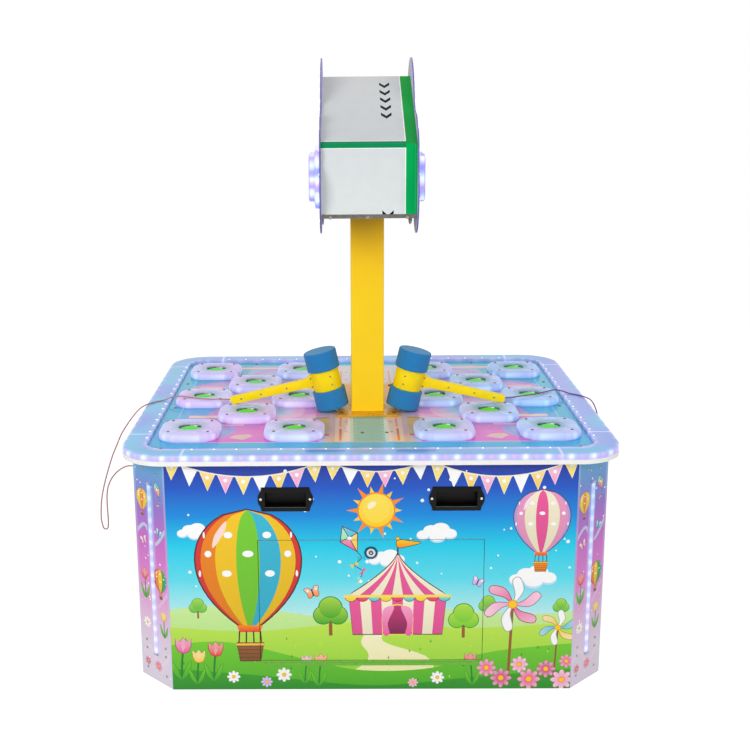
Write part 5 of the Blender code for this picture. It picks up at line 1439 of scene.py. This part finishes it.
def handle_half(x):
    """Half the handle's height at a distance from the butt's centre."""
    if x < NECK_X:
        return BUTT_HALF + (NECK_HALF - BUTT_HALF) * x / NECK_X
    share = min((x - NECK_X) / FLARE_LENGTH, 1.0)
    return NECK_HALF + (FLARE_HALF - NECK_HALF) * share * share * (3 - 2 * share)


def handle_outline(inset=0.0):
    """The handle's side view, from the butt round to the hub and back."""
    along = [(x, handle_half(x) - inset) for x in [HAMMER_REACH * step / 36 for step in range(1, 37)]]
    size = BUTT_HALF - inset
    turns = [math.pi / 2 * step / 8 for step in range(9)]
    square = [(-size + BUTT_CORNER * (1 - math.cos(t)), size - BUTT_CORNER * (1 - math.sin(t)))
              for t in turns]
    under = [(-size * math.sin(t), -size * math.cos(t)) for t in turns[:-1]]
    return square + along + [(x, -z) for x, z in along[::-1]] + under


def foam_profile():
    near = HUB_HALF + GAP
    far = near + FOAM_LENGTH
    profile = [(radius, near + rise) for radius, rise in FOAM_NEAR]
    profile += [(FOAM_RADIUS, near + 0.0042 + (FOAM_LENGTH - 0.009) * k / 8) for k in range(1, 9)]
    profile += [(radius, far - drop) for radius, drop in FOAM_FAR]
    return profile + [(0.046 * (1 - k / 6), far) for k in range(1, 6)]


for side_name, side in SIDES.items():
    body = f"hammer_{side_name}"
    turned = Matrix.Translation((side * PIVOT_X, PIVOT_Y, PIVOT_Z))
    half_turn = Matrix.Rotation(0.0 if side < 0 else math.pi, 4, "Z")
    turned = turned @ half_turn @ Matrix.Rotation(-HAMMER_TILT, 4, "Y")

    def placed(x, y, z):
        return turned @ Vector((x, y, z))

    def pointed(x, y, z):
        return turned.to_3x3() @ Vector((x, y, z))

    # Two shells, screwed together, each with half of the hub's drum
    for half_name, sign in (("near", -1), ("far", 1)):
        build = bmesh.new()
        slab(build, handle_outline, SHELL_LEVELS, lambda a, b, height: placed(a, sign * height, b))
        rings = []
        for inset, level in HUB_LEVELS:
            size = HUB_RADIUS - inset
            rings.append([placed(HAMMER_REACH + size * math.cos(t),
                                 sign * max(size * math.sin(t), SHELL_SEAM), level)
                          for t in arc(0.0, HUB_STEPS)])
        loft(build, rings)
        piece(f"{body}_shell_{half_name}", build, [handle_yellow], body,
              stands_for=(f"{body}_handle",) if sign < 0 else (), smooth=40.0)

    # Screws on both sides, those towards the players' front first
    build = bmesh.new()
    for k, (x, z) in enumerate(HAMMER_SCREWS):
        for sign in (side, -side):
            out, tilt = HANDLE_HALF, 0.0
            off = x - HAMMER_REACH
            if abs(off) < HUB_RADIUS:
                out = math.sqrt(HUB_RADIUS ** 2 - off ** 2)
                tilt = math.asin(off / HUB_RADIUS)
            place = axes_at(placed(x, sign * out, z), pointed(math.cos(tilt), -sign * math.sin(tilt), 0.0),
                            pointed(0.0, 0.0, 1.0), pointed(math.sin(tilt), sign * math.cos(tilt), 0.0))
            screw(build, place, *HEADS["handle"], turn=k * 0.9)
    piece(f"{body}_screws", build, [screw_steel], body)

    # Foam heads, which aren't quite round
    for level_name, sign in (("upper", 1), ("lower", -1)):
        rings = []
        for radius, level in foam_profile():
            ring = []
            for t in circle(64):
                wave = math.sin(3 * t + 5 * sign + side) * math.cos(level * 90)
                size = radius * (1 - 0.0035 * (0.5 + 0.5 * wave))
                ring.append(placed(HAMMER_REACH + size * math.cos(t), size * math.sin(t), sign * level))
            rings.append(ring)
        build = bmesh.new()
        # The flat ends take the lighter foam, as painted light.
        for face in loft(build, rings):
            if abs((turned.inverted() @ face.calc_center_median()).z) > HUB_HALF + GAP + FOAM_LENGTH - 0.0006:
                face.material_index = 1
        foam = piece(f"{body}_pad_{level_name}", build, [foam_blue, foam_face_painted_light], body,
                     stands_for=(f"{body}_foam_{level_name}",), smooth=60.0)


# Column and its foot

COLUMN_X, COLUMN_Y, COLUMN_CORNER = 0.05, 0.143, 0.0035
FOOT_X, FOOT_Y, FOOT_THICK = 0.0935, 0.197, 0.006
FOOT_SCREW_X, FOOT_SCREW_Y = 0.081, 0.171
COLUMN_TOP = SIGN_LOW - GAP
FOOT_LOW = FIELD_TOP + GAP
FOOT_TOP = FOOT_LOW + FOOT_THICK
# How far the weld stands out round the column, with heights above the foot
WELD = [(0.0045, -0.0002), (-0.003, -0.0002), (-0.0022, 0.0014), (-0.0006, 0.003), (0.0006, 0.0036)]


def column_colour_with_painted_shade(spot):
    """Yellow that is painted a little deeper and more orange close under the sign, as painted shade from the
    sign.
    """
    return mixed(rgb(255, 192, 26), rgb(255, 211, 24), clamped((COLUMN_TOP - spot.z) / 0.28))


build = bmesh.new()
slab(build, rounded(FOOT_X, FOOT_Y, 0.004, 4),
     [(0.0006, FOOT_LOW), (0.0, FOOT_LOW + 0.0006), (0.0, FOOT_TOP - 0.0008), (0.0008, FOOT_TOP)])
piece("column_foot", build, [plate_paint], stands_for=("sign_column",))
rise = [(0.0, FOOT_TOP + (COLUMN_TOP - FOOT_TOP) * k / 24) for k in range(25)]
bead = [(inset, FOOT_TOP + height) for inset, height in WELD]
for name, levels, smooth in (("post", rise, 40.0), ("weld", bead, 60.0)):
    build = bmesh.new()
    slab(build, rounded(COLUMN_X, COLUMN_Y, COLUMN_CORNER, 5), levels)
    set_colours(build, column_colour_with_painted_shade)
    piece(f"column_{name}", build, [column_paint], smooth=smooth)
build = bmesh.new()
for k, (sign_x, sign_y) in enumerate(((-1, -1), (1, -1), (1, 1), (-1, 1))):
    place = axes_at((sign_x * FOOT_SCREW_X, sign_y * FOOT_SCREW_Y, FOOT_TOP))
    screw(build, place, *HEADS["foot"], turn=0.5 * k)
piece("column_foot_screws", build, [screw_brass])


# Sign: a film-covered box with a gable, a metal strip, the printed faces and the displays

SLOPE = math.atan2(SIGN_RIDGE - SIGN_CREASE, SIGN_Y)
SLOPE_LENGTH = math.hypot(SIGN_RIDGE - SIGN_CREASE, SIGN_Y)
WALL_HIGH = SIGN_CREASE - SIGN_LOW
SHEET = 0.0022
STRIPE = SIGN_X - 0.0315
WALL_BAND, SLOPE_BAND = WALL_HIGH - 0.0108, 0.0152
CHEVRON_PITCH = 0.0505
# Section of the metal angle along the sign's lower edge
STRIP_SECTION = [(0.0, -0.009), (0.0013, -0.0092), (0.0015, -0.0084), (0.0015, 0.0014), (0.0009, 0.002),
                 (0.0002, 0.0016)]
STRIP_STEPS, STRIP_END, NOTCH_END = 24, 0.0008, 0.004


def chevron(x, y, half, high, thick):
    return [(x - half, y + high), (x, y), (x + half, y + high), (x + half, y + high - thick),
            (x, y - thick), (x - half, y + high - thick)]


for depth_name, sign in (("front", -1), ("back", 1)):
    ways = ((-sign, 0, 0), (0, 0, 1), (0, sign, 0))
    film_looks = [sign_film, sign_metal]
    art = Picture()
    art.base(rectangle(SIGN_X, 0.0, WALL_HIGH), rgb(222, 227, 226), rgb(214, 218, 220))
    art.paint(rectangle(SIGN_X, WALL_BAND, WALL_HIGH), rgb(8, 140, 84))
    art.paint(box(-SIGN_X, STRIPE, WALL_BAND - 0.002, WALL_BAND), WHITE)
    art.paint(box(STRIPE - 0.0022, STRIPE, 0.0, WALL_BAND), WHITE)
    art.paint(box(STRIPE, SIGN_X, 0.0, WALL_HIGH), rgb(0, 176, 92), rgb(0, 168, 84))
    art.paint(box(SIGN_X - 0.0062, SIGN_X - 0.0052, 0.0, WALL_HIGH), rgb(60, 200, 130))
    art.paint(chevron(0.052, -0.002, 0.0158, 0.015, 0.01), rgb(18, 15, 15))
    board(art, axes_at((0, sign * SIGN_Y, SIGN_LOW), *ways), SHEET, f"sign_wall_{depth_name}", film_looks,
          stands_for=("sign_body",) if sign < 0 else ())
    art = Picture()
    # The slope's film is painted greyer and its green darker than the wall's, darkest at the crease, as
    # painted shade.
    art.base(rectangle(SIGN_X, 0.0, SLOPE_LENGTH), rgb(204, 208, 211), rgb(214, 216, 217))
    art.paint(rectangle(SIGN_X, 0.0, SLOPE_BAND), rgb(14, 134, 88))
    art.paint(box(-SIGN_X, STRIPE, SLOPE_BAND, SLOPE_BAND + 0.0028), WHITE)
    art.paint(box(STRIPE - 0.0026, STRIPE, SLOPE_BAND, SLOPE_LENGTH), WHITE)
    art.paint(box(STRIPE, SIGN_X, 0.0, SLOPE_LENGTH), rgb(0, 150, 66), rgb(0, 166, 60))
    for k in range(5):
        art.paint(chevron(0.0525, 0.171 + CHEVRON_PITCH * k, 0.0152, 0.0213, 0.018), rgb(4, 4, 5))
    up = (0.0, -sign * math.cos(SLOPE), math.sin(SLOPE))
    out = (0.0, sign * math.sin(SLOPE), math.cos(SLOPE))
    board(art, axes_at((0, sign * SIGN_Y, SIGN_CREASE), ways[0], up, out), SHEET, f"sign_slope_{depth_name}",
          film_looks)

    # The metal angle, with a row of teeth under it and three screws
    build = bmesh.new()
    rings = []
    for step in range(STRIP_STEPS + 1):
        x = -SIGN_X + STRIP_END + (2 * SIGN_X - 2 * STRIP_END) * step / STRIP_STEPS
        rings.append([Vector((x, sign * (SIGN_Y + a), SIGN_LOW + b)) for a, b in STRIP_SECTION])
    loft(build, rings)
    for step in range(STRIP_STEPS):
        x = -SIGN_X + NOTCH_END + (2 * SIGN_X - 2 * NOTCH_END) * (step + 0.5) / STRIP_STEPS
        slab(build, rounded(0.004, 0.0006, 0.0005, 2, (x, sign * (SIGN_Y + 0.0006))),
             [(0.0, SIGN_LOW - 0.0094), (0.0, SIGN_LOW - 0.0086)])
    for k, x in enumerate((-0.108, -0.004, 0.106)):
        place = axes_at((x, sign * (SIGN_Y + 0.0015), SIGN_LOW - 0.0062), *ways)
        screw(build, place, *HEADS["sign"], 1, turn=k)
    piece(f"sign_strip_{depth_name}", build, [sign_metal, screw_steel])

build = bmesh.new()
slab(build, rounded(SIGN_X, SIGN_Y - SHEET - 0.0004, 0.001, 2), [(0.0, SIGN_LOW), (0.0, SIGN_LOW + SHEET)])
piece("sign_floor", build, [sign_metal])


def traced(inside, middle, steps):
    """Traces a shape from a point inside it: how far it reaches in every direction."""
    made = []
    for angle in circle(steps):
        low, high = 0.0, 0.8
        for _ in range(26):
            size = (low + high) / 2
            if inside(middle[0] + math.cos(angle) * size, middle[1] + math.sin(angle) * size):
                low = size
            else:
                high = size
        made.append((middle[0] + math.cos(angle) * low, middle[1] + math.sin(angle) * low))
    return made


FACE_MARGIN, FACE_THICK, FACE_MIDDLE = 0.008, 0.004, 1.52
# Radius and middle of the face's lobes
face_lobes = [(0.2, 0.0, SIGN_RIDGE + 0.055 - 0.2), (0.19, 0.0, SIGN_LOW - 0.0705 + 0.19)]
for sign in (-1, 1):
    face_lobes.append((0.125, sign * (SIGN_Y + FACE_MARGIN - 0.098), SIGN_LOW - 0.0605 + 0.125))
    face_lobes.append((0.075, sign * (SIGN_Y + 2 * FACE_MARGIN - 0.075), SIGN_CREASE - 0.03))
    face_lobes.append((0.085, sign * 0.675 * SIGN_Y, SIGN_RIDGE - 0.675 * (SIGN_RIDGE - SIGN_CREASE) - 0.065))
# Radius and middle of a quarter of the display's scallops, and the box behind them
SCALLOPS = [(0.0235, 0.0, 0.069), (0.0235, 0.0435, 0.069), (0.0235, 0.087, 0.069), (0.0228, 0.1165, 0.0205),
            (0.0262, 0.112, 0.06)]
DISPLAY_HALF_Y, DISPLAY_HALF_Z = 0.118, 0.072


def in_face(y, z):
    roof = SIGN_RIDGE + FACE_MARGIN / math.cos(SLOPE) - abs(y) * math.tan(SLOPE)
    if abs(y) <= SIGN_Y + FACE_MARGIN and SIGN_LOW - FACE_MARGIN <= z <= roof:
        return True
    return any(math.hypot(y - b, z - c) <= a for a, b, c in face_lobes)


def in_display(y, z):
    a, b = abs(y), abs(z)
    if a <= DISPLAY_HALF_Y and b <= DISPLAY_HALF_Z:
        return True
    return any(math.hypot(a - across, b - up) <= radius for radius, across, up in SCALLOPS)


face_line = traced(in_face, (0.0, FACE_MIDDLE), 360)
display_line = traced(in_display, (0.0, 0.0), 240)
display_angles = [math.atan2(b, a) for a, b in display_line]
DISPLAY_X, DISPLAY_Z = SIGN_X + 2 * GAP + FACE_THICK, SIGN_LOW + 0.0765
WINDOW_Y, WINDOW_Z = 0.081, 0.043
# Shares of the display's outline, with heights
DISPLAY_LEVELS = [(0.985, 0.0), (1.0, 0.0014), (1.0, 0.013), (0.992, 0.0165), (0.972, 0.0188),
                  (0.935, 0.0198), (0.82, 0.0206), (0.785, 0.0218), (0.772, 0.024), (0.772, 0.0325),
                  (0.764, 0.0356), (0.748, 0.0374), (0.728, 0.038)]
# How much wider than the window its frame is, with heights
WINDOW_LEVELS = [(0.004, 0.038), (0.001, 0.0376), (0.0, 0.036), (0.0, 0.0282), (-0.0005, 0.028)]
GLASS_LOW, GLASS_TOP = 0.028, 0.0298
SEGMENTS = {"0": "abcdef", "1": "bc", "2": "abged", "8": "abcdefg"}
SCORES = {"left": "08", "right": "12"}
# Middle, half width and half height of the digits' segments
LYING, STANDING = (0.014, 0.0032), (0.0032, 0.0114)
SEGMENT_PLACES = {
    "a": (0.0, 0.03, *LYING), "b": (0.0178, 0.015, *STANDING), "c": (0.0178, -0.015, *STANDING),
    "d": (0.0, -0.03, *LYING), "e": (-0.0178, -0.015, *STANDING), "f": (-0.0178, 0.015, *STANDING),
    "g": (0.0, 0.0, *LYING),
}
DIGIT_PITCH = 0.068
FACE_STARS = [(0.205, 1.58, 0.026, BUTTER), (0.305, 1.515, 0.03, BUTTER), (0.345, 1.43, 0.02, PINK),
              (0.235, 1.47, 0.02, PINK), (0.3, 1.365, 0.026, BUTTER), (0.185, 1.39, 0.016, PINK)]
FACE_DOTS = [(0.262, 1.56), (0.36, 1.49), (0.256, 1.412), (0.335, 1.345), (0.1, 1.705), (0.18, 1.645)]
DISC_TONES = [(BUTTER, YELLOW), (ORANGE, BUTTER), (rgb(236, 72, 120), rgb(250, 130, 90))]


def shrunk(outline, share, middle_b):
    return [(a * share, middle_b + (b - middle_b) * share) for a, b in outline]


def display_paint(spot):
    height = abs(spot.x) - DISPLAY_X
    return mixed(rgb(150, 150, 236), rgb(176, 172, 242), clamped(height / 0.03))


for side_name, side in SIDES.items():
    place = side_at((side * (SIGN_X + GAP + FACE_THICK), 0, 0), side)
    art = Picture()
    art.base(face_line, rgb(150, 140, 250))
    art.paint(shrunk(face_line, 0.985, FACE_MIDDLE), rgb(70, 60, 190), rgb(120, 70, 220))
    art.paint(shrunk(face_line, 0.935, FACE_MIDDLE), rgb(52, 110, 226), rgb(150, 70, 206))
    for turn in circle(16):
        reach = 1.15 - 0.35 * abs(math.sin(turn))
        ray = moved([(0.0, 0.0), (0.29, 0.03), (0.29, -0.03)], 0.0, 1.53, reach, turn)
        art.paint(ray, rgb(96, 140, 240), rgb(176, 110, 230))
    for k, tones in enumerate(DISC_TONES):
        art.paint(ellipse(0.0, 1.622, 0.12 - 0.024 * k, 0.092 - 0.02 * k, 40), *tones)
    art.paint(star(0.0, 1.62, 0.044, 0.46), BUTTER, WHITE)
    for sign in (-1, 1):
        for a, b, size, tone in FACE_STARS:
            art.paint(star(sign * a, b, size, 0.45, math.pi / 2 + sign * a), tone, WHITE)
        for a, b in FACE_DOTS:
            art.paint(ellipse(sign * a, b, 0.007, None, 16), WHITE)
        swirl = mirrored(sign, (0.05, 1.296), (0.15, 1.312), (0.25, 1.31), (0.33, 1.328))
        art.paint(ribbon(swirl, 0.01), rgb(250, 160, 210))
    art.paint(star(0.0, 1.738, 0.022, 0.45), BUTTER, WHITE)
    board(art, place, FACE_THICK - 0.0002, f"sign_face_{side_name}_print", [face_print, face_edge, face_back],
          stands_for=(f"sign_face_{side_name}",), glow=0.35)
    build = bmesh.new()
    for spot in shrunk(face_line, 0.962, FACE_MIDDLE)[::9]:
        slab(build, disc(0.0036, 12, spot), [(0.0, 0.0), (0.0, 0.0008), (0.0014, 0.0018)], place)
    piece(f"sign_face_{side_name}_lamps", build, [led_white])

    # Display: a stepped, scalloped, frosted frame round a black window with two digits
    place = side_at((side * DISPLAY_X, 0, DISPLAY_Z), side)
    rings = [[place(a * size, b * size, height) for a, b in display_line] for size, height in DISPLAY_LEVELS]
    for grow, height in WINDOW_LEVELS:
        ring = []
        for angle in display_angles:
            across, up = math.cos(angle), math.sin(angle)
            size = min((WINDOW_Y + grow) / max(abs(across), 1e-6), (WINDOW_Z + grow) / max(abs(up), 1e-6))
            ring.append(place(across * size, up * size, height))
        rings.append(ring)
    build = bmesh.new()
    loft(build, rings)

    def display_glow(spot):
        """Uneven white lamps with pink between them, along the lower rim and the upper one."""
        a, b, height = spot.y * side, spot.z - DISPLAY_Z, abs(spot.x) - DISPLAY_X
        if 0.02 < height < 0.0283 and abs(a) < WINDOW_Y + 0.001 and abs(b) < WINDOW_Z + 0.001:
            return (0.0, 0.0, 0.0)
        angle = math.atan2(b, a)
        lamps = (0.5 + 0.5 * math.cos(angle * 14 + 1.3 * math.sin(angle * 3))) ** 1.4
        pink = (0.5 + 0.5 * math.cos(angle * 9 + 1.2)) ** 3
        level = bell(height - 0.01, 0.0085) + 0.75 * bell(height - 0.029, 0.0065)
        return tuple(0.1 * v + level * (0.34 * u + 1.15 * lamps * w + 0.36 * pink * r)
                     for v, u, w, r in zip(rgb(110, 120, 255), rgb(160, 200, 255), (0.78, 0.95, 1.0),
                                           rgb(255, 120, 225)))

    set_colours(build, display_paint)
    set_colours(build, display_glow, "glow")
    piece(f"score_display_{side_name}_frame", build, [display_look],
          stands_for=(f"score_display_{side_name}",), smooth=45.0)
    build = bmesh.new()
    slab(build, rounded(WINDOW_Y - 0.001, WINDOW_Z - 0.001, 0.003, 4),
         [(0.0, GLASS_LOW), (0.0, GLASS_TOP - 0.0004), (0.0004, GLASS_TOP)], place)
    for slot_number, digit in enumerate(SCORES[side_name]):
        middle = DIGIT_PITCH * (slot_number - 0.5)
        for segment, (a, b, half_a, half_b) in SEGMENT_PLACES.items():
            finish = 1 if segment in SEGMENTS[digit] else 2
            slab(build, rounded(half_a, half_b, 0.0018, 3, (middle + a, b)),
                 [(0.0, GLASS_TOP), (0.0, GLASS_TOP + 0.0005), (0.0006, GLASS_TOP + 0.0009)], place, finish)
    piece(f"score_display_{side_name}_digits", build, [black_glass, led_red, led_off],
          smooth=30.0)


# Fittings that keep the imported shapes, and the inside

for finish, names in (
    (plywood, ["cabinet_frame"]), (hinge_paint, ["door_hinge"]), (chrome, ["lock_plug"]),
    (zinc, ["mole_drive_left", "mole_drive_right", "power_supply"]), (black_plastic, ["power_inlet"]),
):
    for name in names:
        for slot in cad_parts[name].material_slots:
            slot.material = finish


# Pull handles: a black plate with a round ear at either end, round a cup

PULL_HALF_X, PULL_HALF_Z, EAR_X, PLATE_TOP = 0.067, 0.035, 0.0765, 0.0025
CUP_X, CUP_Z, CUP_DEEP, CUP_WALL = 0.0563, 0.021, 0.028, 0.002
# A quarter of the plate's edge, from beside the top's middle down to the ear's tip
PULL_QUARTER = [
    (0.022, PULL_HALF_Z), (0.044, PULL_HALF_Z), (PULL_HALF_X - 0.002, PULL_HALF_Z),
    (PULL_HALF_X - 0.0005, PULL_HALF_Z - 0.0005), (0.0671, 0.033), (0.0676, 0.029), (0.0686, 0.0248),
    (0.0704, 0.0204), (0.0728, 0.0162), (0.0748, 0.0122), (0.076, 0.008), (EAR_X, 0.0036),
]
# How far each ring lies outside the plate's edge or the cup's mouth, and how high,
# from behind the cup round to its floor
PULL_LEVELS = [
    ("mouth", CUP_WALL, -CUP_DEEP - CUP_WALL), ("mouth", CUP_WALL, 0.0), ("edge", 0.0, 0.0),
    ("edge", 0.0, 0.0014), ("edge", -0.0005, 0.0021), ("edge", -0.0013, PLATE_TOP),
    ("mouth", 0.0062, PLATE_TOP), ("mouth", 0.0048, 0.0033), ("mouth", 0.0018, 0.0036),
    ("mouth", 0.0004, 0.003), ("mouth", 0.0, 0.0018), ("mouth", 0.0, -CUP_DEEP + 0.002),
    ("mouth", -0.002, -CUP_DEEP),
]


def pull_outline():
    """The plate's edge, anticlockwise from the top's middle."""
    back = PULL_QUARTER[::-1]
    right = PULL_QUARTER + [(EAR_X, 0.0)] + mirrored(1, *[(a, -b) for a, b in back])
    left = [(-a, -b) for a, b in PULL_QUARTER] + [(-EAR_X, 0.0)] + mirrored(-1, *back)
    return (right + [(0.0, -PULL_HALF_Z)] + left + [(0.0, PULL_HALF_Z)])[::-1]


def pull_mouth(outline, more):
    """The cup's mouth, with a point for each point of the plate's edge."""
    made = []
    for a, b in outline:
        u, v = a / PULL_HALF_X, b / PULL_HALF_Z
        size = max(abs(u), abs(v))
        made.append((u / size * (CUP_X + more), v / size * (CUP_Z + more)))
    return made


edge = pull_outline()
for side_name, side in SIDES.items():
    place = front_at((side * PULL_X, -FRONT_Y - GAP, PULL_Z))
    rings = []
    for kind, more, height in PULL_LEVELS:
        outline = grown(edge, more) if kind == "edge" else pull_mouth(edge, more)
        rings.append([place(a, b, height) for a, b in outline])
    build = bmesh.new()
    loft(build, rings)
    # The lower edge of the mouth, a strip of lighter grey as a painted highlight
    line = rounded(CUP_X, 0.0006, 0.0003, 2, (0.0, -CUP_Z - 0.0016))
    slab(build, line, [(0.0, 0.003), (0.0, 0.0038)], place, 1)
    piece(f"pull_handle_{side_name}_moulding", build, [pull_black, pull_painted_highlight],
          stands_for=(f"pull_handle_{side_name}",), smooth=30.0)
    build = bmesh.new()
    for sign in (-1, 1):
        screw(build, front_at(place(sign * (EAR_X - 0.008), 0.0, PLATE_TOP)), *HEADS["pull"], turn=0.4 + sign)
    piece(f"pull_handle_{side_name}_screws", build, [screw_white])


# Lock: a chromed bezel tinted dark teal as a painted reflection, with a silver dish, and a round keyway in
# the plug as a dark ring of painted shade

LOCK_PLACE = front_at((0.0, -FRONT_Y - GAP, LOCK_Z))
LOCK_TURNS = circle(48)
# Radii and heights, and the finish of the strip after each
BEZEL = [(0.0095, -0.0218), (0.0095, 0.0), (0.018, 0.0), (0.0185, 0.0005), (0.0185, 0.0014), (0.018, 0.0022),
         (0.0168, 0.0028), (0.015, 0.003), (0.0134, 0.0028), (0.0124, 0.002), (0.0118, 0.0016),
         (0.0086, 0.0018), (0.0078, 0.0024), (0.0074, 0.0024), (0.0073, -0.0218)]
BEZEL_FINISHES = [0] * 9 + [1] * 4 + [0] * 2
PLUG_TOP = 0.0039
KEYWAY = [(0.0028, PLUG_TOP), (0.006, PLUG_TOP), (0.006, 0.0041), (0.0028, 0.0041)]

build = bmesh.new()
for k, face in enumerate(loft(build, turned_rings(LOCK_PLACE, BEZEL, LOCK_TURNS), closed=True)):
    face.material_index = BEZEL_FINISHES[k // len(LOCK_TURNS)]
piece("lock_bezel", build, [lock_teal_painted_reflection, chrome], "door", stands_for=("lock_barrel",), smooth=40.0)
# The keyway is a thin dark ring and notch on the plug's face: painted shade where its groove would be.
build = bmesh.new()
loft(build, turned_rings(LOCK_PLACE, KEYWAY, LOCK_TURNS), closed=True)
slab(build, disc(0.0024, 20), [(0.0, PLUG_TOP), (0.0, 0.0043), (0.0005, 0.0046)], LOCK_PLACE, 1)
slab(build, rounded(0.0008, 0.0007, 0.0003, 2, (0.0, 0.0063)), [(0.0, PLUG_TOP), (0.0, 0.0041)], LOCK_PLACE)
piece("lock_keyway", build, [keyway_painted_shade_black, chrome], "lock_plug", smooth=40.0)


# Floor, background and light

FLOOR_RADIUS, FLOOR_GREY, FLOOR_SEEN, AMBIENT = 9.0, 0.36, 0.81, 0.5


def joined(tree, kind, *wires, **settings):
    """A new shader node; its inputs, by place, are other nodes' outputs or values."""
    made = tree.nodes.new("ShaderNode" + kind)
    for key, value in settings.items():
        setattr(made, key, value)
    for socket, value in zip(made.inputs, wires):
        if isinstance(value, bpy.types.NodeSocket):
            tree.links.new(value, socket)
        else:
            socket.default_value = value
    return made.outputs[0] if made.outputs else made


def rays_seen(tree):
    """1 for what the camera, gloss and glass see, 0 for what lights the object."""
    path = tree.nodes.new("ShaderNodeLightPath").outputs
    most = joined(tree, "Math", path["Is Camera Ray"], path["Is Glossy Ray"], operation="MAXIMUM")
    return joined(tree, "Math", most, path["Is Transmission Ray"], operation="MAXIMUM")


# A floor that shows the shadow and is otherwise near white for the camera
pale = bpy.data.materials.new("pale_floor")
pale.use_nodes = True
tree = pale.node_tree
tree.nodes.clear()
matte = node(tree, "BsdfDiffuse", Color=(FLOOR_GREY, FLOOR_GREY, FLOOR_GREY, 1.0))
strength = joined(tree, "Math", rays_seen(tree), FLOOR_SEEN, operation="MULTIPLY")
light = node(tree, "Emission", Strength=strength)
joined(tree, "OutputMaterial", joined(tree, "AddShader", matte, light))
build = bmesh.new()
slab(build, disc(FLOOR_RADIUS, 96), [(0.0, -0.02), (0.0, 0.0)])
linked("floor", mesh_of("floor", build, [pale]))

world = bpy.data.worlds.new("white_room")
world.use_nodes = True
bpy.context.scene.world = world
tree = world.node_tree
tree.nodes.clear()
ambient = node(tree, "Background", Color=(1.0, 1.0, 1.0, 1.0), Strength=AMBIENT)
seen = node(tree, "Background", Color=(1.0, 1.0, 1.0, 1.0), Strength=1.0)
joined(tree, "OutputWorld", joined(tree, "MixShader", rays_seen(tree), ambient, seen))

for name, spot, aim, size, energy in (
    ("key", (-2.6, -3.9, 2.4), (0.0, 0.0, 0.8), 2.6, 112.0),
    ("fill", (3.0, -3.4, 2.2), (0.0, 0.0, 0.8), 2.6, 64.0),
    ("top", (0.0, 0.3, 4.4), (0.0, 0.0, 0.7), 3.0, 12.0),
    ("behind", (0.6, 4.2, 2.6), (0.0, 0.0, 0.8), 2.6, 40.0),
):
    lamp = bpy.data.lights.new(name, "AREA")
    lamp.shape = "SQUARE"
    lamp.size = size
    lamp.energy = energy
    holder = linked(name, lamp)
    holder.location = spot
    holder.rotation_euler = (Vector(aim) - Vector(spot)).to_track_quat("-Z", "Y").to_euler()
    holder.visible_glossy = False

bpy.context.scene.view_settings.view_transform = "Standard"
